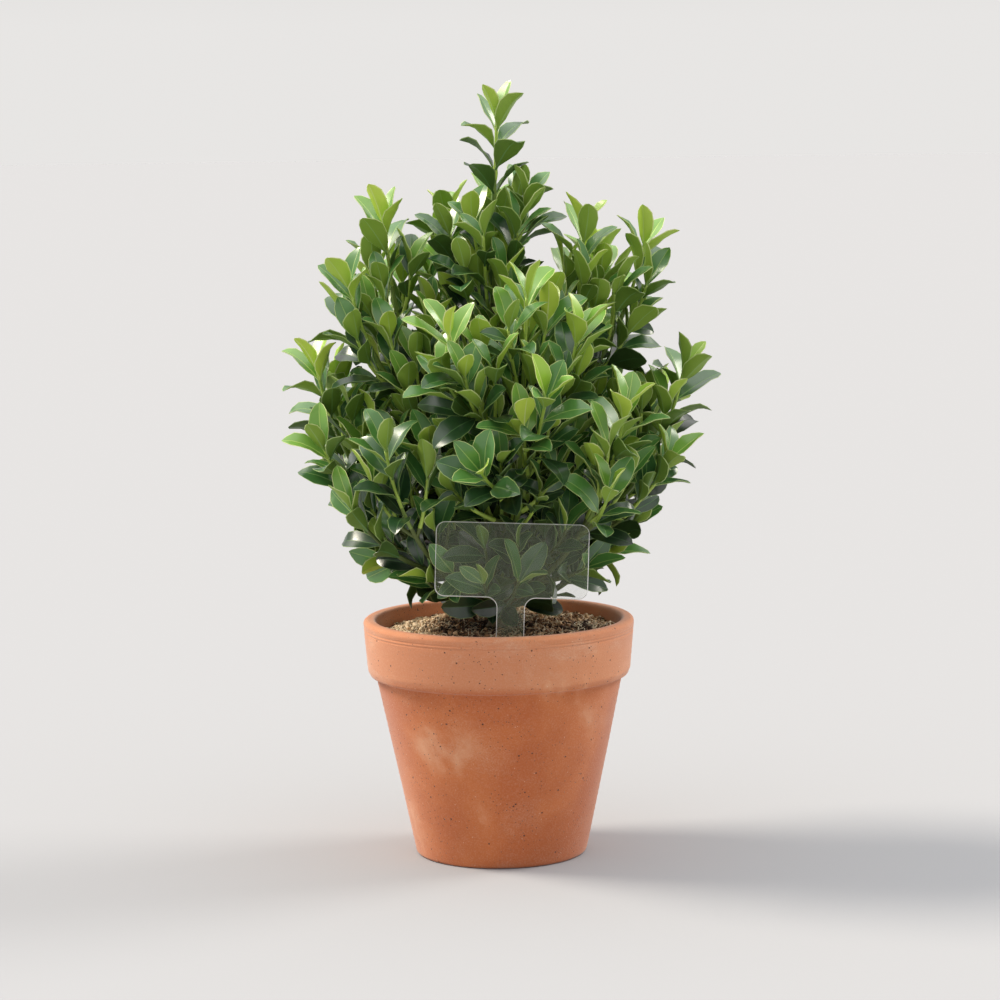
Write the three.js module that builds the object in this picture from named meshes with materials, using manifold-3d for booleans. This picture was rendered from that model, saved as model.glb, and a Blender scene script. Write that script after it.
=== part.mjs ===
// Potted japanese euonymus: a small upright evergreen shrub in a terracotta pot of compost,
// with a clear plastic plant label pushed in behind the front lip.
// Millimetres and degrees, +Z up, the front of the pot towards -Y.
// The origin is the middle of the pot's flat underside.

import * as THREE from 'three';
import { mergeVertices } from 'three/addons/utils/BufferGeometryUtils.js';
import Module from 'manifold-3d';

const wasm = await Module();
wasm.setup();

// Clear space between two solids that lie against each other.
const GAP = 0.3;

// Vertices this close count as one when a fused surface is tested, and when a geometry is joined up.
const WELD = 0.001;
const SAME_PLACE = 0.0001;

const POT = {
  height: 114,
  rimRadius: 65,
  lipRounding: 2.5,
  collarHeight: 27.2,
  collarFootRadius: 63,
  neckRadius: 59.2,
  stepRounding: 1.4,
  footRadius: 40.9,
  footRounding: 2,
  wall: 5,
  floor: 7,
  facets: 40,
};

const COMPOST = {
  level: 109,
  edgeDip: 2.2,
  lumpHeight: 0.9,
  lumpWidth: 8,
  flatRadius: 10,
  rings: 3,
  facets: 32,
};

const LABEL = {
  width: 71,
  height: 35,
  cornerRadius: 4.5,
  stemWidth: 13,
  filletRadius: 5,
  tipRounding: 3,
  thickness: 1.4,
  panelFoot: 130.2,
  buried: 27,
  x: 4,
  y: -48,
  lean: 2.2,
};

const GROUND = COMPOST.level + GAP;

// The main stem and its leader: one limb from the ground to the top of the crown.
const STEM = {
  footRadius: 6.2,
  radius: 4.1,
  flareHeight: 3.5,
  taper: 0.6,
  sway: 4,
  sides: 9,
  steps: 8,
};

const BOUGH = {
  radius: 2,
  tipRadius: 0.8,
  taper: 0.7,
  spread: 0.82,
  rise: 0.3,
  steepSpread: 0.55,
  steepRise: 0.45,
  sides: 5,
  steps: 3,
};

const TWIG = {
  radius: 1.35,
  tipRadius: 0.75,
  stepLength: 26,
  spread: 0.7,
  rise: 0.3,
};

const LEAF = {
  length: 30,
  width: 16,
  youngLength: 20,
  lengthGain: 4,
  thickness: 0.8,
  thickestAt: 0.22,
  lowerShoulder: { at: 0.34, halfWidth: 0.42 },
  upperShoulder: { at: 0.72, halfWidth: 0.46 },
  fold: 0.32,
  root: 0.4,
  youngAngle: 22,
  angleGain: 12,
  widestAngle: 68,
  turnToLight: 0.5,
  firstNode: 1.5,
  youngInternode: 6,
  internodeGain: 3,
  internode: 16,
  bareFoot: 7,
  angleScatter: 8,
  lengthScatter: 0.08,
  turnScatter: 14,
};

// Free space that a leaf keeps to the next mass of foliage, the limbs, the label and the pot.
const CLEARANCE = 0.5;

// Step of the points along a shoot that a leaf's distance to it is measured from.
const SHOOT_STEP = 4;

// A leaf that doesn't fit is turned up to its shoot and made smaller in these steps, then left out.
const LEAF_TRIES = [
  { lift: 0, size: 1 },
  { lift: 15, size: 0.92 },
];

// Each mass of foliage: the height where its bough forks from the main stem, how far along that
// limb the foliage starts, and its shoots. A shoot is [azimuth, reach, tip height], with azimuth 0
// to the right, 90 to the back and 270 to the front. The first is the bough's own end. The others
// leave it at the share of its length given last. A steep bough rises sooner, behind the label.
const MASSES = {
  leader: { fork: GROUND, start: 0.24, shoots: [[0, 2, 351]] },
  upper_left: { fork: 150, start: 0.3, shoots: [[188, 52, 302], [203, 73, 273, 0.45], [150, 52, 277, 0.5]] },
  upper_back: { fork: 155, start: 0.3, shoots: [[128, 35, 303], [84, 48, 290, 0.45], [98, 65, 271, 0.4]] },
  upper_right: { fork: 153, start: 0.3, shoots: [[350, 43, 297], [3, 71, 290, 0.45], [38, 60, 282, 0.42]] },
  upper_front: { fork: 147, start: 0.3, shoots: [[287, 50, 269], [252, 68, 253, 0.42], [308, 62, 252, 0.42]] },
  left: { fork: 127, start: 0.2, shoots: [[187, 85, 235], [203, 87, 199, 0.36], [194, 52, 143, 0.22]] },
  back_left: { fork: 118, start: 0.2, shoots: [[158, 85, 223], [132, 84, 243, 0.42], [146, 54, 145, 0.22]] },
  back: { fork: 128, start: 0.2, shoots: [[100, 87, 240], [80, 88, 218, 0.4], [92, 55, 147, 0.22]] },
  back_right: { fork: 119, start: 0.2, shoots: [[54, 85, 246], [31, 88, 211, 0.4], [44, 54, 144, 0.22]] },
  right: { fork: 129, start: 0.2, shoots: [[357, 89, 231], [337, 86, 191, 0.36], [349, 53, 146, 0.22]] },
  front_right: { fork: 119, start: 0.2, shoots: [[316, 82, 218], [307, 84, 180, 0.5], [324, 50, 141, 0.22]] },
  front: {
    fork: 130,
    start: 0.2,
    steep: true,
    shoots: [[287, 78, 225], [265, 80, 192, 0.5], [300, 54, 190, 0.42], [248, 52, 180, 0.35]],
  },
  front_left: { fork: 118, start: 0.2, shoots: [[232, 82, 201], [217, 84, 173, 0.36], [226, 48, 139, 0.22]] },
};

const UP = new THREE.Vector3(0, 0, 1);
const DEGREE = Math.PI / 180;

// A closed geometry as a solid that can be joined and cut.
function solidOf(geometry) {
  const plain = geometry.clone();
  plain.deleteAttribute('normal');
  plain.deleteAttribute('uv');
  const merged = mergeVertices(plain, SAME_PLACE);
  return new wasm.Manifold(new wasm.Mesh({
    numProp: 3,
    vertProperties: new Float32Array(merged.attributes.position.array),
    triVerts: new Uint32Array(merged.index.array),
  }));
}

// A solid back as a geometry with its normals.
function geometryOf(solid) {
  const mesh = solid.getMesh();
  const geometry = new THREE.BufferGeometry();
  geometry.setAttribute('position', new THREE.BufferAttribute(mesh.vertProperties, 3));
  geometry.setIndex(new THREE.BufferAttribute(mesh.triVerts, 1));
  geometry.computeVertexNormals();
  return geometry;
}

function joined(solids) {
  return solids.reduce((whole, solid) => whole.add(solid));
}

// The largest piece of a solid: loose scraps go, and a hollow sealed by crossing leaves is filled.
function largestPiece(solid) {
  return solid.decompose().reduce((a, b) => (b.volume() > a.volume() ? b : a));
}

// Whether a solid's surface is still closed when vertices closer than WELD are taken as one: then
// each edge has one face on each side.
function staysClosed(solid) {
  const welded = mergeVertices(geometryOf(solid).deleteAttribute('normal'), WELD);
  const corners = welded.index.array;
  const edges = new Set();
  let count = 0;
  for (let i = 0; i < corners.length; i += 3) {
    const [a, b, c] = corners.slice(i, i + 3);
    if (a !== b && b !== c && c !== a) {
      [[a, b], [b, c], [c, a]].forEach(([from, to]) => edges.add(`${from} ${to}`));
      count += 3;
    }
  }
  return edges.size === count;
}

// Points on an arc of a profile, from one angle to another.
function arc(x, y, radius, from, to, steps) {
  const curve = new THREE.EllipseCurve(x, y, radius, radius, from * DEGREE, to * DEGREE, to < from);
  return curve.getPoints(steps);
}

// A profile of radius and height, turned round the upright axis.
function turned(profile, facets) {
  return new THREE.LatheGeometry(profile, facets).rotateX(Math.PI / 2);
}

function point(radius, height) {
  return new THREE.Vector2(radius, height);
}

// Radius of the pot's inner wall at a height: a collar that narrows to the neck, then a cone.
function innerRadius(height) {
  const neckHeight = POT.height - POT.collarHeight;
  const mouth = POT.rimRadius - 2 * POT.lipRounding;
  const neck = POT.neckRadius - POT.wall;
  const foot = POT.footRadius - POT.wall;
  return height > neckHeight
    ? THREE.MathUtils.mapLinear(height, neckHeight, POT.height, neck, mouth)
    : THREE.MathUtils.mapLinear(height, POT.floor, neckHeight, foot, neck);
}

function potGeometry() {
  const { height, rimRadius, lipRounding, footRadius, footRounding, neckRadius } = POT;
  const { collarFootRadius, stepRounding, floor } = POT;
  const neckHeight = height - POT.collarHeight;
  const lipHeight = height - lipRounding;
  const profile = [
    point(0, 0),
    ...arc(footRadius - footRounding, footRounding, footRounding, -90, 0, 2),
    point(neckRadius, neckHeight - stepRounding),
    point(neckRadius + stepRounding, neckHeight),
    ...arc(collarFootRadius - stepRounding, neckHeight + stepRounding, stepRounding, -90, 0, 2),
    ...arc(rimRadius - lipRounding, lipHeight, lipRounding, 0, 180, 4),
    point(innerRadius(neckHeight), neckHeight),
    point(innerRadius(floor), floor),
    point(0, floor),
  ];
  return turned(profile, POT.facets);
}

// Height of the compost's surface: flat round the stem, lumpy further out, and lower at the edge.
function compostHeight(x, y) {
  const r = Math.hypot(x, y);
  const out = THREE.MathUtils.smoothstep(r, COMPOST.flatRadius, 2 * COMPOST.flatRadius);
  const lump = Math.sin(x / COMPOST.lumpWidth + 1) * Math.cos(y / COMPOST.lumpWidth);
  const edge = (r / POT.neckRadius) ** 2;
  return COMPOST.level + out * (COMPOST.lumpHeight * lump - COMPOST.edgeDip * edge);
}

function compostGeometry() {
  const { level, flatRadius, rings, facets } = COMPOST;
  const neckHeight = POT.height - POT.collarHeight;
  const floor = POT.floor + GAP;
  const edge = innerRadius(level - COMPOST.edgeDip) - GAP;
  const surface = [];
  for (let ring = 0; ring <= rings; ring += 1) {
    surface.push(point(THREE.MathUtils.lerp(edge, flatRadius, ring / rings), level));
  }
  const profile = [
    point(0, floor),
    point(innerRadius(floor) - GAP, floor),
    point(innerRadius(neckHeight) - GAP, neckHeight),
    ...surface,
    point(0, level),
  ];
  const geometry = turned(profile, facets);
  const places = geometry.attributes.position;
  for (let i = 0; i < places.count; i += 1) {
    if (places.getZ(i) > level - GAP) {
      places.setZ(i, compostHeight(places.getX(i), places.getY(i)));
    }
  }
  return geometry;
}

// Outline of the label: a round-cornered panel on a stem, with a fillet each side of the stem.
// grow widens it all round, and y is 0 at the stem's buried tip.
function labelOutline(grow) {
  const half = LABEL.width / 2 + grow;
  const stem = LABEL.stemWidth / 2 + grow;
  const foot = LABEL.buried + LABEL.panelFoot - COMPOST.level - grow;
  const top = foot + LABEL.height + 2 * grow;
  const corner = LABEL.cornerRadius;
  const fillet = LABEL.filletRadius;
  const tip = LABEL.tipRounding;
  const outline = new THREE.Shape();
  outline.moveTo(-stem + tip, -grow);
  outline.absarc(stem - tip, tip - grow, tip, -90 * DEGREE, 0, false);
  outline.absarc(stem + fillet, foot - fillet, fillet, 180 * DEGREE, 90 * DEGREE, true);
  outline.absarc(half - corner, foot + corner, corner, -90 * DEGREE, 0, false);
  outline.absarc(half - corner, top - corner, corner, 0, 90 * DEGREE, false);
  outline.absarc(-half + corner, top - corner, corner, 90 * DEGREE, 180 * DEGREE, false);
  outline.absarc(-half + corner, foot + corner, corner, 180 * DEGREE, 270 * DEGREE, false);
  outline.absarc(-stem - fillet, foot - fillet, fillet, 90 * DEGREE, 0, true);
  outline.absarc(-stem + tip, tip - grow, tip, 180 * DEGREE, 270 * DEGREE, false);
  return outline;
}

// The label standing upright on its buried tip, its thickness along Y.
function labelGeometry(grow = 0) {
  const depth = LABEL.thickness + 2 * grow;
  const settings = { depth, bevelEnabled: false, curveSegments: 2 };
  const geometry = new THREE.ExtrudeGeometry(labelOutline(grow), settings);
  return geometry.translate(0, 0, -depth / 2).rotateX(Math.PI / 2);
}

// The label's place: leaning to its right, its tip deep in the compost.
function placeLabel(object) {
  object.position.set(LABEL.x, LABEL.y, COMPOST.level - LABEL.buried);
  object.rotation.y = LABEL.lean * DEGREE;
  object.updateMatrix();
  return object;
}

function labelSolid(grow) {
  const holder = placeLabel(new THREE.Object3D());
  return solidOf(labelGeometry(grow).applyMatrix4(holder.matrix));
}

// Number from -1 to 1 that looks random and is always the same for the same shoot, leaf and use.
function scatter(shoot, leaf, use) {
  const wave = Math.sin(shoot * 12.9898 + leaf * 78.233 + use * 37.719) * 43758.5453;
  return 2 * (wave - Math.floor(wave)) - 1;
}

function polar(azimuth, reach, height) {
  return new THREE.Vector3(
    reach * Math.cos(azimuth * DEGREE),
    reach * Math.sin(azimuth * DEGREE),
    height,
  );
}

// A limb's path goes out first and then turns up towards its tip.
function limbPath(from, tip, spread, rise) {
  const bend = from.clone().lerp(tip, spread);
  bend.z = THREE.MathUtils.lerp(from.z, tip.z, rise);
  return new THREE.QuadraticBezierCurve3(from, bend, tip);
}

// The main stem and leader sway a little on their way up.
function leaderPath() {
  const tip = polar(...MASSES.leader.shoots[0]);
  const bend = new THREE.Vector3(-STEM.sway, STEM.sway, (GROUND + tip.z) / 2);
  return new THREE.QuadraticBezierCurve3(new THREE.Vector3(0, 0, GROUND), bend, tip);
}

// Place on the main stem's axis at a height.
function stemAxis(height) {
  const path = leaderPath();
  const tip = path.v2.z;
  return path.getPoint((height - GROUND) / (tip - GROUND));
}

// Axes across a limb at a share of its length: the tangent, one axis sideways and one outwards.
// They follow the limb's own azimuth, so they never spin about a limb that stands upright.
function frameAt(path, share, azimuth) {
  const along = path.getTangentAt(share);
  const sideways = new THREE.Vector3(-Math.sin(azimuth * DEGREE), Math.cos(azimuth * DEGREE), 0);
  sideways.addScaledVector(along, -sideways.dot(along)).normalize();
  const outwards = new THREE.Vector3().crossVectors(sideways, along);
  return { along, sideways, outwards };
}

// A closed tapering tube along part of a path, with radiusAt giving its radius at each share.
function taperedTube(path, from, to, azimuth, radiusAt, sides, steps) {
  const places = [];
  const faces = [];
  for (let step = 0; step <= steps; step += 1) {
    const share = THREE.MathUtils.lerp(from, to, step / steps);
    const { sideways, outwards } = frameAt(path, share, azimuth);
    for (let side = 0; side < sides; side += 1) {
      const angle = (2 * Math.PI * side) / sides;
      const corner = path.getPointAt(share);
      corner.addScaledVector(outwards, radiusAt(share) * Math.cos(angle));
      corner.addScaledVector(sideways, radiusAt(share) * Math.sin(angle));
      places.push(corner.x, corner.y, corner.z);
    }
  }
  const vertex = (step, side) => step * sides + (side % sides);
  for (let step = 0; step < steps; step += 1) {
    for (let side = 0; side < sides; side += 1) {
      faces.push(vertex(step, side), vertex(step, side + 1), vertex(step + 1, side + 1));
      faces.push(vertex(step, side), vertex(step + 1, side + 1), vertex(step + 1, side));
    }
  }
  for (let side = 1; side < sides - 1; side += 1) {
    faces.push(vertex(0, 0), vertex(0, side + 1), vertex(0, side));
    faces.push(vertex(steps, 0), vertex(steps, side), vertex(steps, side + 1));
  }
  const geometry = new THREE.BufferGeometry();
  geometry.setAttribute('position', new THREE.Float32BufferAttribute(places, 3));
  geometry.setIndex(faces);
  return geometry;
}

// A leaf: two flat wings that meet in a keel along its midrib, thickest there and sharp all round.
// Its length runs along `along`, and its upper side faces `upper`.
function leafGeometry(root, along, upper, length, width) {
  const sideways = new THREE.Vector3().crossVectors(upper, along);
  const place = (forward, side, raised) => root.clone()
    .addScaledVector(along, forward * length)
    .addScaledVector(sideways, side * width)
    .addScaledVector(upper, raised);
  const wing = ({ at, halfWidth }, side) => place(at, side * halfWidth, LEAF.fold * halfWidth * width);
  const corners = [
    place(0, 0, 0),
    wing(LEAF.lowerShoulder, 1),
    wing(LEAF.upperShoulder, 1),
    place(1, 0, 0),
    wing(LEAF.upperShoulder, -1),
    wing(LEAF.lowerShoulder, -1),
    place(LEAF.thickestAt, 0, LEAF.thickness),
  ];
  const [base, left, leftTip, tip, rightTip, right, rib] = corners.keys();
  const faces = [
    rib, base, right, rib, right, rightTip, rib, rightTip, tip,
    rib, tip, leftTip, rib, leftTip, left, rib, left, base,
    base, left, tip, left, leftTip, tip,
    tip, rightTip, right, tip, right, base,
  ];
  const geometry = new THREE.BufferGeometry();
  geometry.setFromPoints(corners);
  geometry.setIndex(faces);
  return geometry;
}

// Every limb of the plant, worked out before any leaf, so that each leaf can keep to its own mass.
function growLimbs() {
  const limbs = [];
  for (const [mass, { fork, start, steep, shoots }] of Object.entries(MASSES)) {
    let own = null;
    for (const [azimuth, reach, height, leaves] of shoots) {
      const tip = polar(azimuth, reach, height);
      if (mass === 'leader') {
        own = leaderPath();
      } else if (!own) {
        const spread = steep ? BOUGH.steepSpread : BOUGH.spread;
        own = limbPath(stemAxis(fork), tip, spread, steep ? BOUGH.steepRise : BOUGH.rise);
      }
      const first = leaves === undefined;
      const path = first ? own : limbPath(own.getPointAt(leaves), tip, TWIG.spread, TWIG.rise);
      limbs.push({ mass, azimuth, path, first, start: first ? start : 0, index: limbs.length });
    }
  }
  return limbs;
}

// Radius of a bough, and of the twig that goes on from it, at a share of the whole limb.
function boughRadius(share) {
  return THREE.MathUtils.lerp(BOUGH.radius, BOUGH.tipRadius, share ** BOUGH.taper);
}

// Radius of the main stem at a share of its limb: flared at the foot, then an even taper.
function stemRadius(share) {
  const height = share * (MASSES.leader.shoots[0][2] - GROUND);
  const flare = (STEM.footRadius - STEM.radius) * Math.exp(-height / STEM.flareHeight);
  return THREE.MathUtils.lerp(STEM.radius, BOUGH.tipRadius, share ** STEM.taper) + flare;
}

function mainStemGeometry(limb, grow = 0) {
  const radiusAt = (share) => stemRadius(share) + grow;
  return taperedTube(limb.path, 0, limb.start, limb.azimuth, radiusAt, STEM.sides, STEM.steps);
}

// A bough is cut clear of the main stem, so that its foot fits the stem's side.
function boughSolid(limb, stem) {
  const tube = taperedTube(limb.path, 0, limb.start, limb.azimuth, boughRadius, BOUGH.sides, BOUGH.steps);
  return largestPiece(solidOf(tube).subtract(stem));
}

function twigSolid(limb) {
  const length = limb.path.getLength();
  const from = limb.first ? limb.start + GAP / length : 0;
  const steps = Math.max(3, Math.round(((1 - from) * length) / TWIG.stepLength));
  const radiusAt = (share) => THREE.MathUtils.mapLinear(share, from, 1, TWIG.radius, TWIG.tipRadius);
  return solidOf(taperedTube(limb.path, from, 1, limb.azimuth, radiusAt, 3, steps));
}

// The nodes of a shoot, as lengths back from its tip: close together there, even further down.
function nodesOf(limb) {
  const leafy = (1 - limb.start) * limb.path.getLength() - LEAF.bareFoot;
  const nodes = [];
  let back = LEAF.firstNode;
  while (back < leafy) {
    nodes.push(back);
    back += Math.min(LEAF.internode, LEAF.youngInternode + LEAF.internodeGain * (nodes.length - 1));
  }
  return nodes;
}

// One leaf of an opposite pair. Each pair stands crosswise to the next, and all turn to the light.
function leafAt(limb, node, back, side, { lift, size }) {
  const share = 1 - back / limb.path.getLength();
  const { along, sideways, outwards } = frameAt(limb.path, share, limb.azimuth);
  const vary = (use) => scatter(limb.index, 2 * node + side, use);
  const turn = 45 + 90 * node + 180 * side + LEAF.turnScatter * vary(1);
  const spread = Math.min(LEAF.widestAngle, LEAF.youngAngle + LEAF.angleGain * node);
  const angle = (spread - lift + LEAF.angleScatter * vary(2)) * DEGREE;
  const grown = Math.min(LEAF.length, LEAF.youngLength + LEAF.lengthGain * node);
  const length = size * grown * (1 + LEAF.lengthScatter * vary(3));
  const radial = outwards.multiplyScalar(Math.cos(turn * DEGREE));
  radial.addScaledVector(sideways, Math.sin(turn * DEGREE));
  const direction = along.clone().multiplyScalar(Math.cos(angle)).addScaledVector(radial, Math.sin(angle));
  const upper = along.clone().multiplyScalar(Math.sin(angle)).addScaledVector(radial, -Math.cos(angle));
  upper.addScaledVector(UP, LEAF.turnToLight);
  upper.addScaledVector(direction, -upper.dot(direction)).normalize();
  const root = limb.path.getPointAt(share).addScaledVector(direction, -LEAF.root);
  const width = LEAF.width * (length / LEAF.length);
  return leafGeometry(root, direction, upper, length, width);
}

// Points on a leaf: its corners and the middles between them.
function leafPoints(geometry) {
  const places = geometry.attributes.position;
  const corners = [];
  for (let i = 0; i < places.count; i += 1) {
    corners.push(new THREE.Vector3().fromBufferAttribute(places, i));
  }
  const rim = corners.slice(0, -1);
  const middles = rim.map((corner, i) => corner.clone().lerp(rim[(i + 1) % rim.length], 0.5));
  return [...corners, ...middles];
}

function nearest(place, points) {
  return points.reduce((least, other) => Math.min(least, place.distanceTo(other)), Infinity);
}

// A mass owns the space that is nearer to its own shoots than to any other's.
function keepsToSpace(geometry, own, others) {
  return leafPoints(geometry).every((place) => (
    place.z > POT.height + CLEARANCE
    && nearest(place, own) + CLEARANCE < nearest(place, others)
  ));
}

// Points along a mass's shoots.
function skeletonOf(limbs) {
  return limbs.flatMap((limb) => {
    const from = limb.start;
    const count = Math.ceil(((1 - from) * limb.path.getLength()) / SHOOT_STEP);
    return Array.from({ length: count + 1 }, (_, i) => (
      limb.path.getPointAt(THREE.MathUtils.lerp(from, 1, i / count))
    ));
  });
}

function touches(solid, other) {
  const [a, b] = [solid.boundingBox(), other.boundingBox()];
  const apart = [0, 1, 2].some((axis) => a.min[axis] > b.max[axis] || b.min[axis] > a.max[axis]);
  return !apart && !solid.intersect(other).isEmpty();
}

// The first form of a leaf that keeps to its space and touches nothing around it, or null.
function fittingLeaf(limb, node, back, side, mine, others, solidsAround) {
  for (const attempt of LEAF_TRIES) {
    const leaf = leafAt(limb, node, back, side, attempt);
    if (keepsToSpace(leaf, mine, others)) {
      const solid = solidOf(leaf);
      if (!solidsAround.some((around) => touches(solid, around))) {
        return solid;
      }
    }
  }
  return null;
}

// One mass of foliage: its shoots, with every leaf that finds room fused on.
function foliageSolid(own, skeletons, solidsAround) {
  const [mine, others] = [[], []];
  for (const [mass, points] of skeletons) {
    (mass === own[0].mass ? mine : others).push(...points);
  }
  const twigs = own.map(twigSolid);
  const leaves = [];
  let foliage = joined(twigs);
  for (const limb of own) {
    const otherTwigs = twigs.filter((_, i) => own[i] !== limb);
    nodesOf(limb).forEach((back, node) => {
      const around = [...solidsAround, ...otherTwigs, ...leaves];
      for (const side of [0, 1]) {
        const leaf = fittingLeaf(limb, node, back, side, mine, others, around);
        const fused = leaf && foliage.add(leaf);
        if (fused && staysClosed(fused)) {
          foliage = fused;
          leaves.push(leaf);
        }
      }
    });
  }
  return largestPiece(foliage);
}

const FINISH = {
  terracotta: new THREE.MeshStandardMaterial({ color: 0xc67d5a, roughness: 0.92, metalness: 0 }),
  compost: new THREE.MeshStandardMaterial({ color: 0x6b4a32, roughness: 1, metalness: 0 }),
  clear: new THREE.MeshStandardMaterial({ color: 0xdfe6e2, roughness: 0.12, metalness: 0 }),
  bark: new THREE.MeshStandardMaterial({ color: 0x7a7648, roughness: 0.8, metalness: 0 }),
  foliage: new THREE.MeshStandardMaterial({ color: 0x3f6b34, roughness: 0.4, metalness: 0 }),
};

function namedMesh(name, geometry, material) {
  const mesh = new THREE.Mesh(geometry, material);
  mesh.name = name;
  return mesh;
}

function potWithCompost() {
  const group = new THREE.Group();
  const slot = labelSolid(GAP);
  const compost = solidOf(compostGeometry()).subtract(slot);
  group.add(namedMesh('pot', potGeometry(), FINISH.terracotta));
  group.add(namedMesh('compost', geometryOf(compost), FINISH.compost));
  group.add(placeLabel(namedMesh('label', labelGeometry(), FINISH.clear)));
  return group;
}

function plant() {
  const group = new THREE.Group();
  const limbs = growLimbs();
  const skeletons = Object.keys(MASSES).map((mass) => (
    [mass, skeletonOf(limbs.filter((limb) => limb.mass === mass))]
  ));
  const stem = solidOf(mainStemGeometry(limbs[0], GAP));
  const boughs = limbs.filter((limb) => limb.first && limb.mass !== 'leader');
  const boughSolids = boughs.map((limb) => boughSolid(limb, stem));
  group.add(namedMesh('main_stem', mainStemGeometry(limbs[0]), FINISH.bark));
  boughs.forEach((limb, i) => {
    group.add(namedMesh(`bough_${limb.mass}`, geometryOf(boughSolids[i]), FINISH.bark));
  });
  const solidsAround = [stem, labelSolid(CLEARANCE), ...boughSolids];
  for (const mass of Object.keys(MASSES)) {
    const own = limbs.filter((limb) => limb.mass === mass);
    const foliage = foliageSolid(own, skeletons, solidsAround);
    solidsAround.push(foliage);
    group.add(namedMesh(`foliage_${mass}`, geometryOf(foliage), FINISH.foliage));
  }
  return group;
}

const root = new THREE.Group();
root.add(potWithCompost());
root.add(plant());

export default root;
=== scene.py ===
"""Potted japanese euonymus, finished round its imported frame.

Metres and degrees, +Z up, the front of the pot towards -Y. Sizes are written as millimetres times MM.
"""

import itertools
import logging
import math
from collections import Counter
from collections.abc import Callable, Iterable, Sequence
from dataclasses import dataclass, field
from enum import IntEnum

import bpy
import numpy as np
from mathutils import Matrix, Vector
from mathutils.bvhtree import BVHTree


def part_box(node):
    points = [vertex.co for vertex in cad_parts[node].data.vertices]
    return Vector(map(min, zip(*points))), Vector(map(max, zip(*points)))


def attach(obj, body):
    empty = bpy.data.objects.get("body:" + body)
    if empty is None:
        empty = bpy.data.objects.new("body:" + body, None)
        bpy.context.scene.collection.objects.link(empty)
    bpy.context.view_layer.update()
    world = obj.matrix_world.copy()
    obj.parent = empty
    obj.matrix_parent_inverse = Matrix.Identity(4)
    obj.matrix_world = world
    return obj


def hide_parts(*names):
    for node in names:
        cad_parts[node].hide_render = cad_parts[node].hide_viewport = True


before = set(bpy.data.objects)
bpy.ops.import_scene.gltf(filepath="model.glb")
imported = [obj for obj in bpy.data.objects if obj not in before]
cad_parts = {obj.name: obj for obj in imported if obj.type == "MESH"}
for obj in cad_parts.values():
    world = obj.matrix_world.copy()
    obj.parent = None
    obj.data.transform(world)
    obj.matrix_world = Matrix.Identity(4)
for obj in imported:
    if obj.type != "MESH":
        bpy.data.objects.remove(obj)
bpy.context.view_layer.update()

MM = 0.001
TURN = 2 * math.pi
UP = np.array([0.0, 0.0, 1.0])
SCATTER_WAVES = (12.9898, 78.233, 37.719)
SCATTER_SIZE = 43758.5453
Array = np.ndarray

log = logging.getLogger("euonymus")


def unit(vectors: Array) -> Array:
    """Vectors scaled to a length of one. The last axis is x, y, z."""
    return vectors / np.linalg.norm(vectors, axis=-1, keepdims=True)


def blend(low: float | Array, high: float | Array, share: float | Array) -> float | Array:
    """The value at a share of the way from low to high."""
    return low + (high - low) * share


def smooth_step(value: float | Array, low: float, high: float) -> float | Array:
    """0 below low, 1 above high and s * s * (3 - 2 * s) between them."""
    share = np.clip((value - low) / (high - low), 0, 1)
    return share * share * (3 - 2 * share)


def scatter(shoot: float | Array, leaf: float | Array, use: float | Array) -> float | Array:
    """A number that looks random and is always the same for the same arguments.

    It is the fraction of a large sine of the three numbers.

    Args:
        shoot: the number of the shoot, or any first number.
        leaf: the number of the leaf on it, or any second number.
        use: what the number is for, so that uses differ.

    Returns:
        From -1 to 1.
    """
    first, second, third = SCATTER_WAVES
    wave = np.sin(shoot * first + leaf * second + use * third) * SCATTER_SIZE
    return 2 * (wave - np.floor(wave)) - 1


def value_noise(places: Array, cell: float) -> Array:
    """Smooth noise in space.

    The corners of each lattice cell hold scattered numbers, blended by s * s * (3 - 2 * s) on each axis.

    Args:
        places: points, one a row.
        cell: the size of a lattice cell.

    Returns:
        A number from -1 to 1 for each point.
    """
    low = np.floor(places / cell)
    share = places / cell - low
    share = share * share * (3 - 2 * share)
    total = np.zeros(len(places))
    for corner in np.ndindex(2, 2, 2):
        lattice = low + corner
        weight = np.prod(np.where(corner, share, 1 - share), axis=1)
        total += weight * scatter(lattice[:, 0], lattice[:, 1], lattice[:, 2])
    return total


def rough_noise(places: Array, cell: float, layers: int) -> Array:
    """Value noise in layers, each half the size and half the height of the one before."""
    return sum(value_noise(places + 7.3 * cell * k, cell / 2**k) / 2**k for k in range(layers))


@dataclass
class Shape:
    """Corners, and faces in groups of one corner count, with a finish number for each face."""

    corners: Array
    groups: list[Array] = field(default_factory=list)
    finishes: list[Array] = field(default_factory=list)

    def add(self, faces: Array | Sequence, finish: int | Array = 0) -> "Shape":
        """Adds faces that all have the same number of corners.

        Args:
            faces: corner numbers, one face a row, anticlockwise seen from outside.
            finish: one finish number, or one for each face.

        Returns:
            The shape itself.
        """
        faces = np.asarray(faces, int)
        self.groups.append(faces)
        self.finishes.append(np.broadcast_to(np.asarray(finish, int), len(faces)))
        return self


def joined(shapes: Iterable[Shape]) -> Shape:
    """Several shapes as one.

    Args:
        shapes: the shapes, of which each keeps its own corners.

    Returns:
        The whole.
    """
    shapes = list(shapes)
    whole = Shape(np.concatenate([shape.corners for shape in shapes]))
    offset = 0
    for shape in shapes:
        for faces, finish in zip(shape.groups, shape.finishes):
            whole.add(faces + offset, finish)
        offset += len(shape.corners)
    return whole


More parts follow.
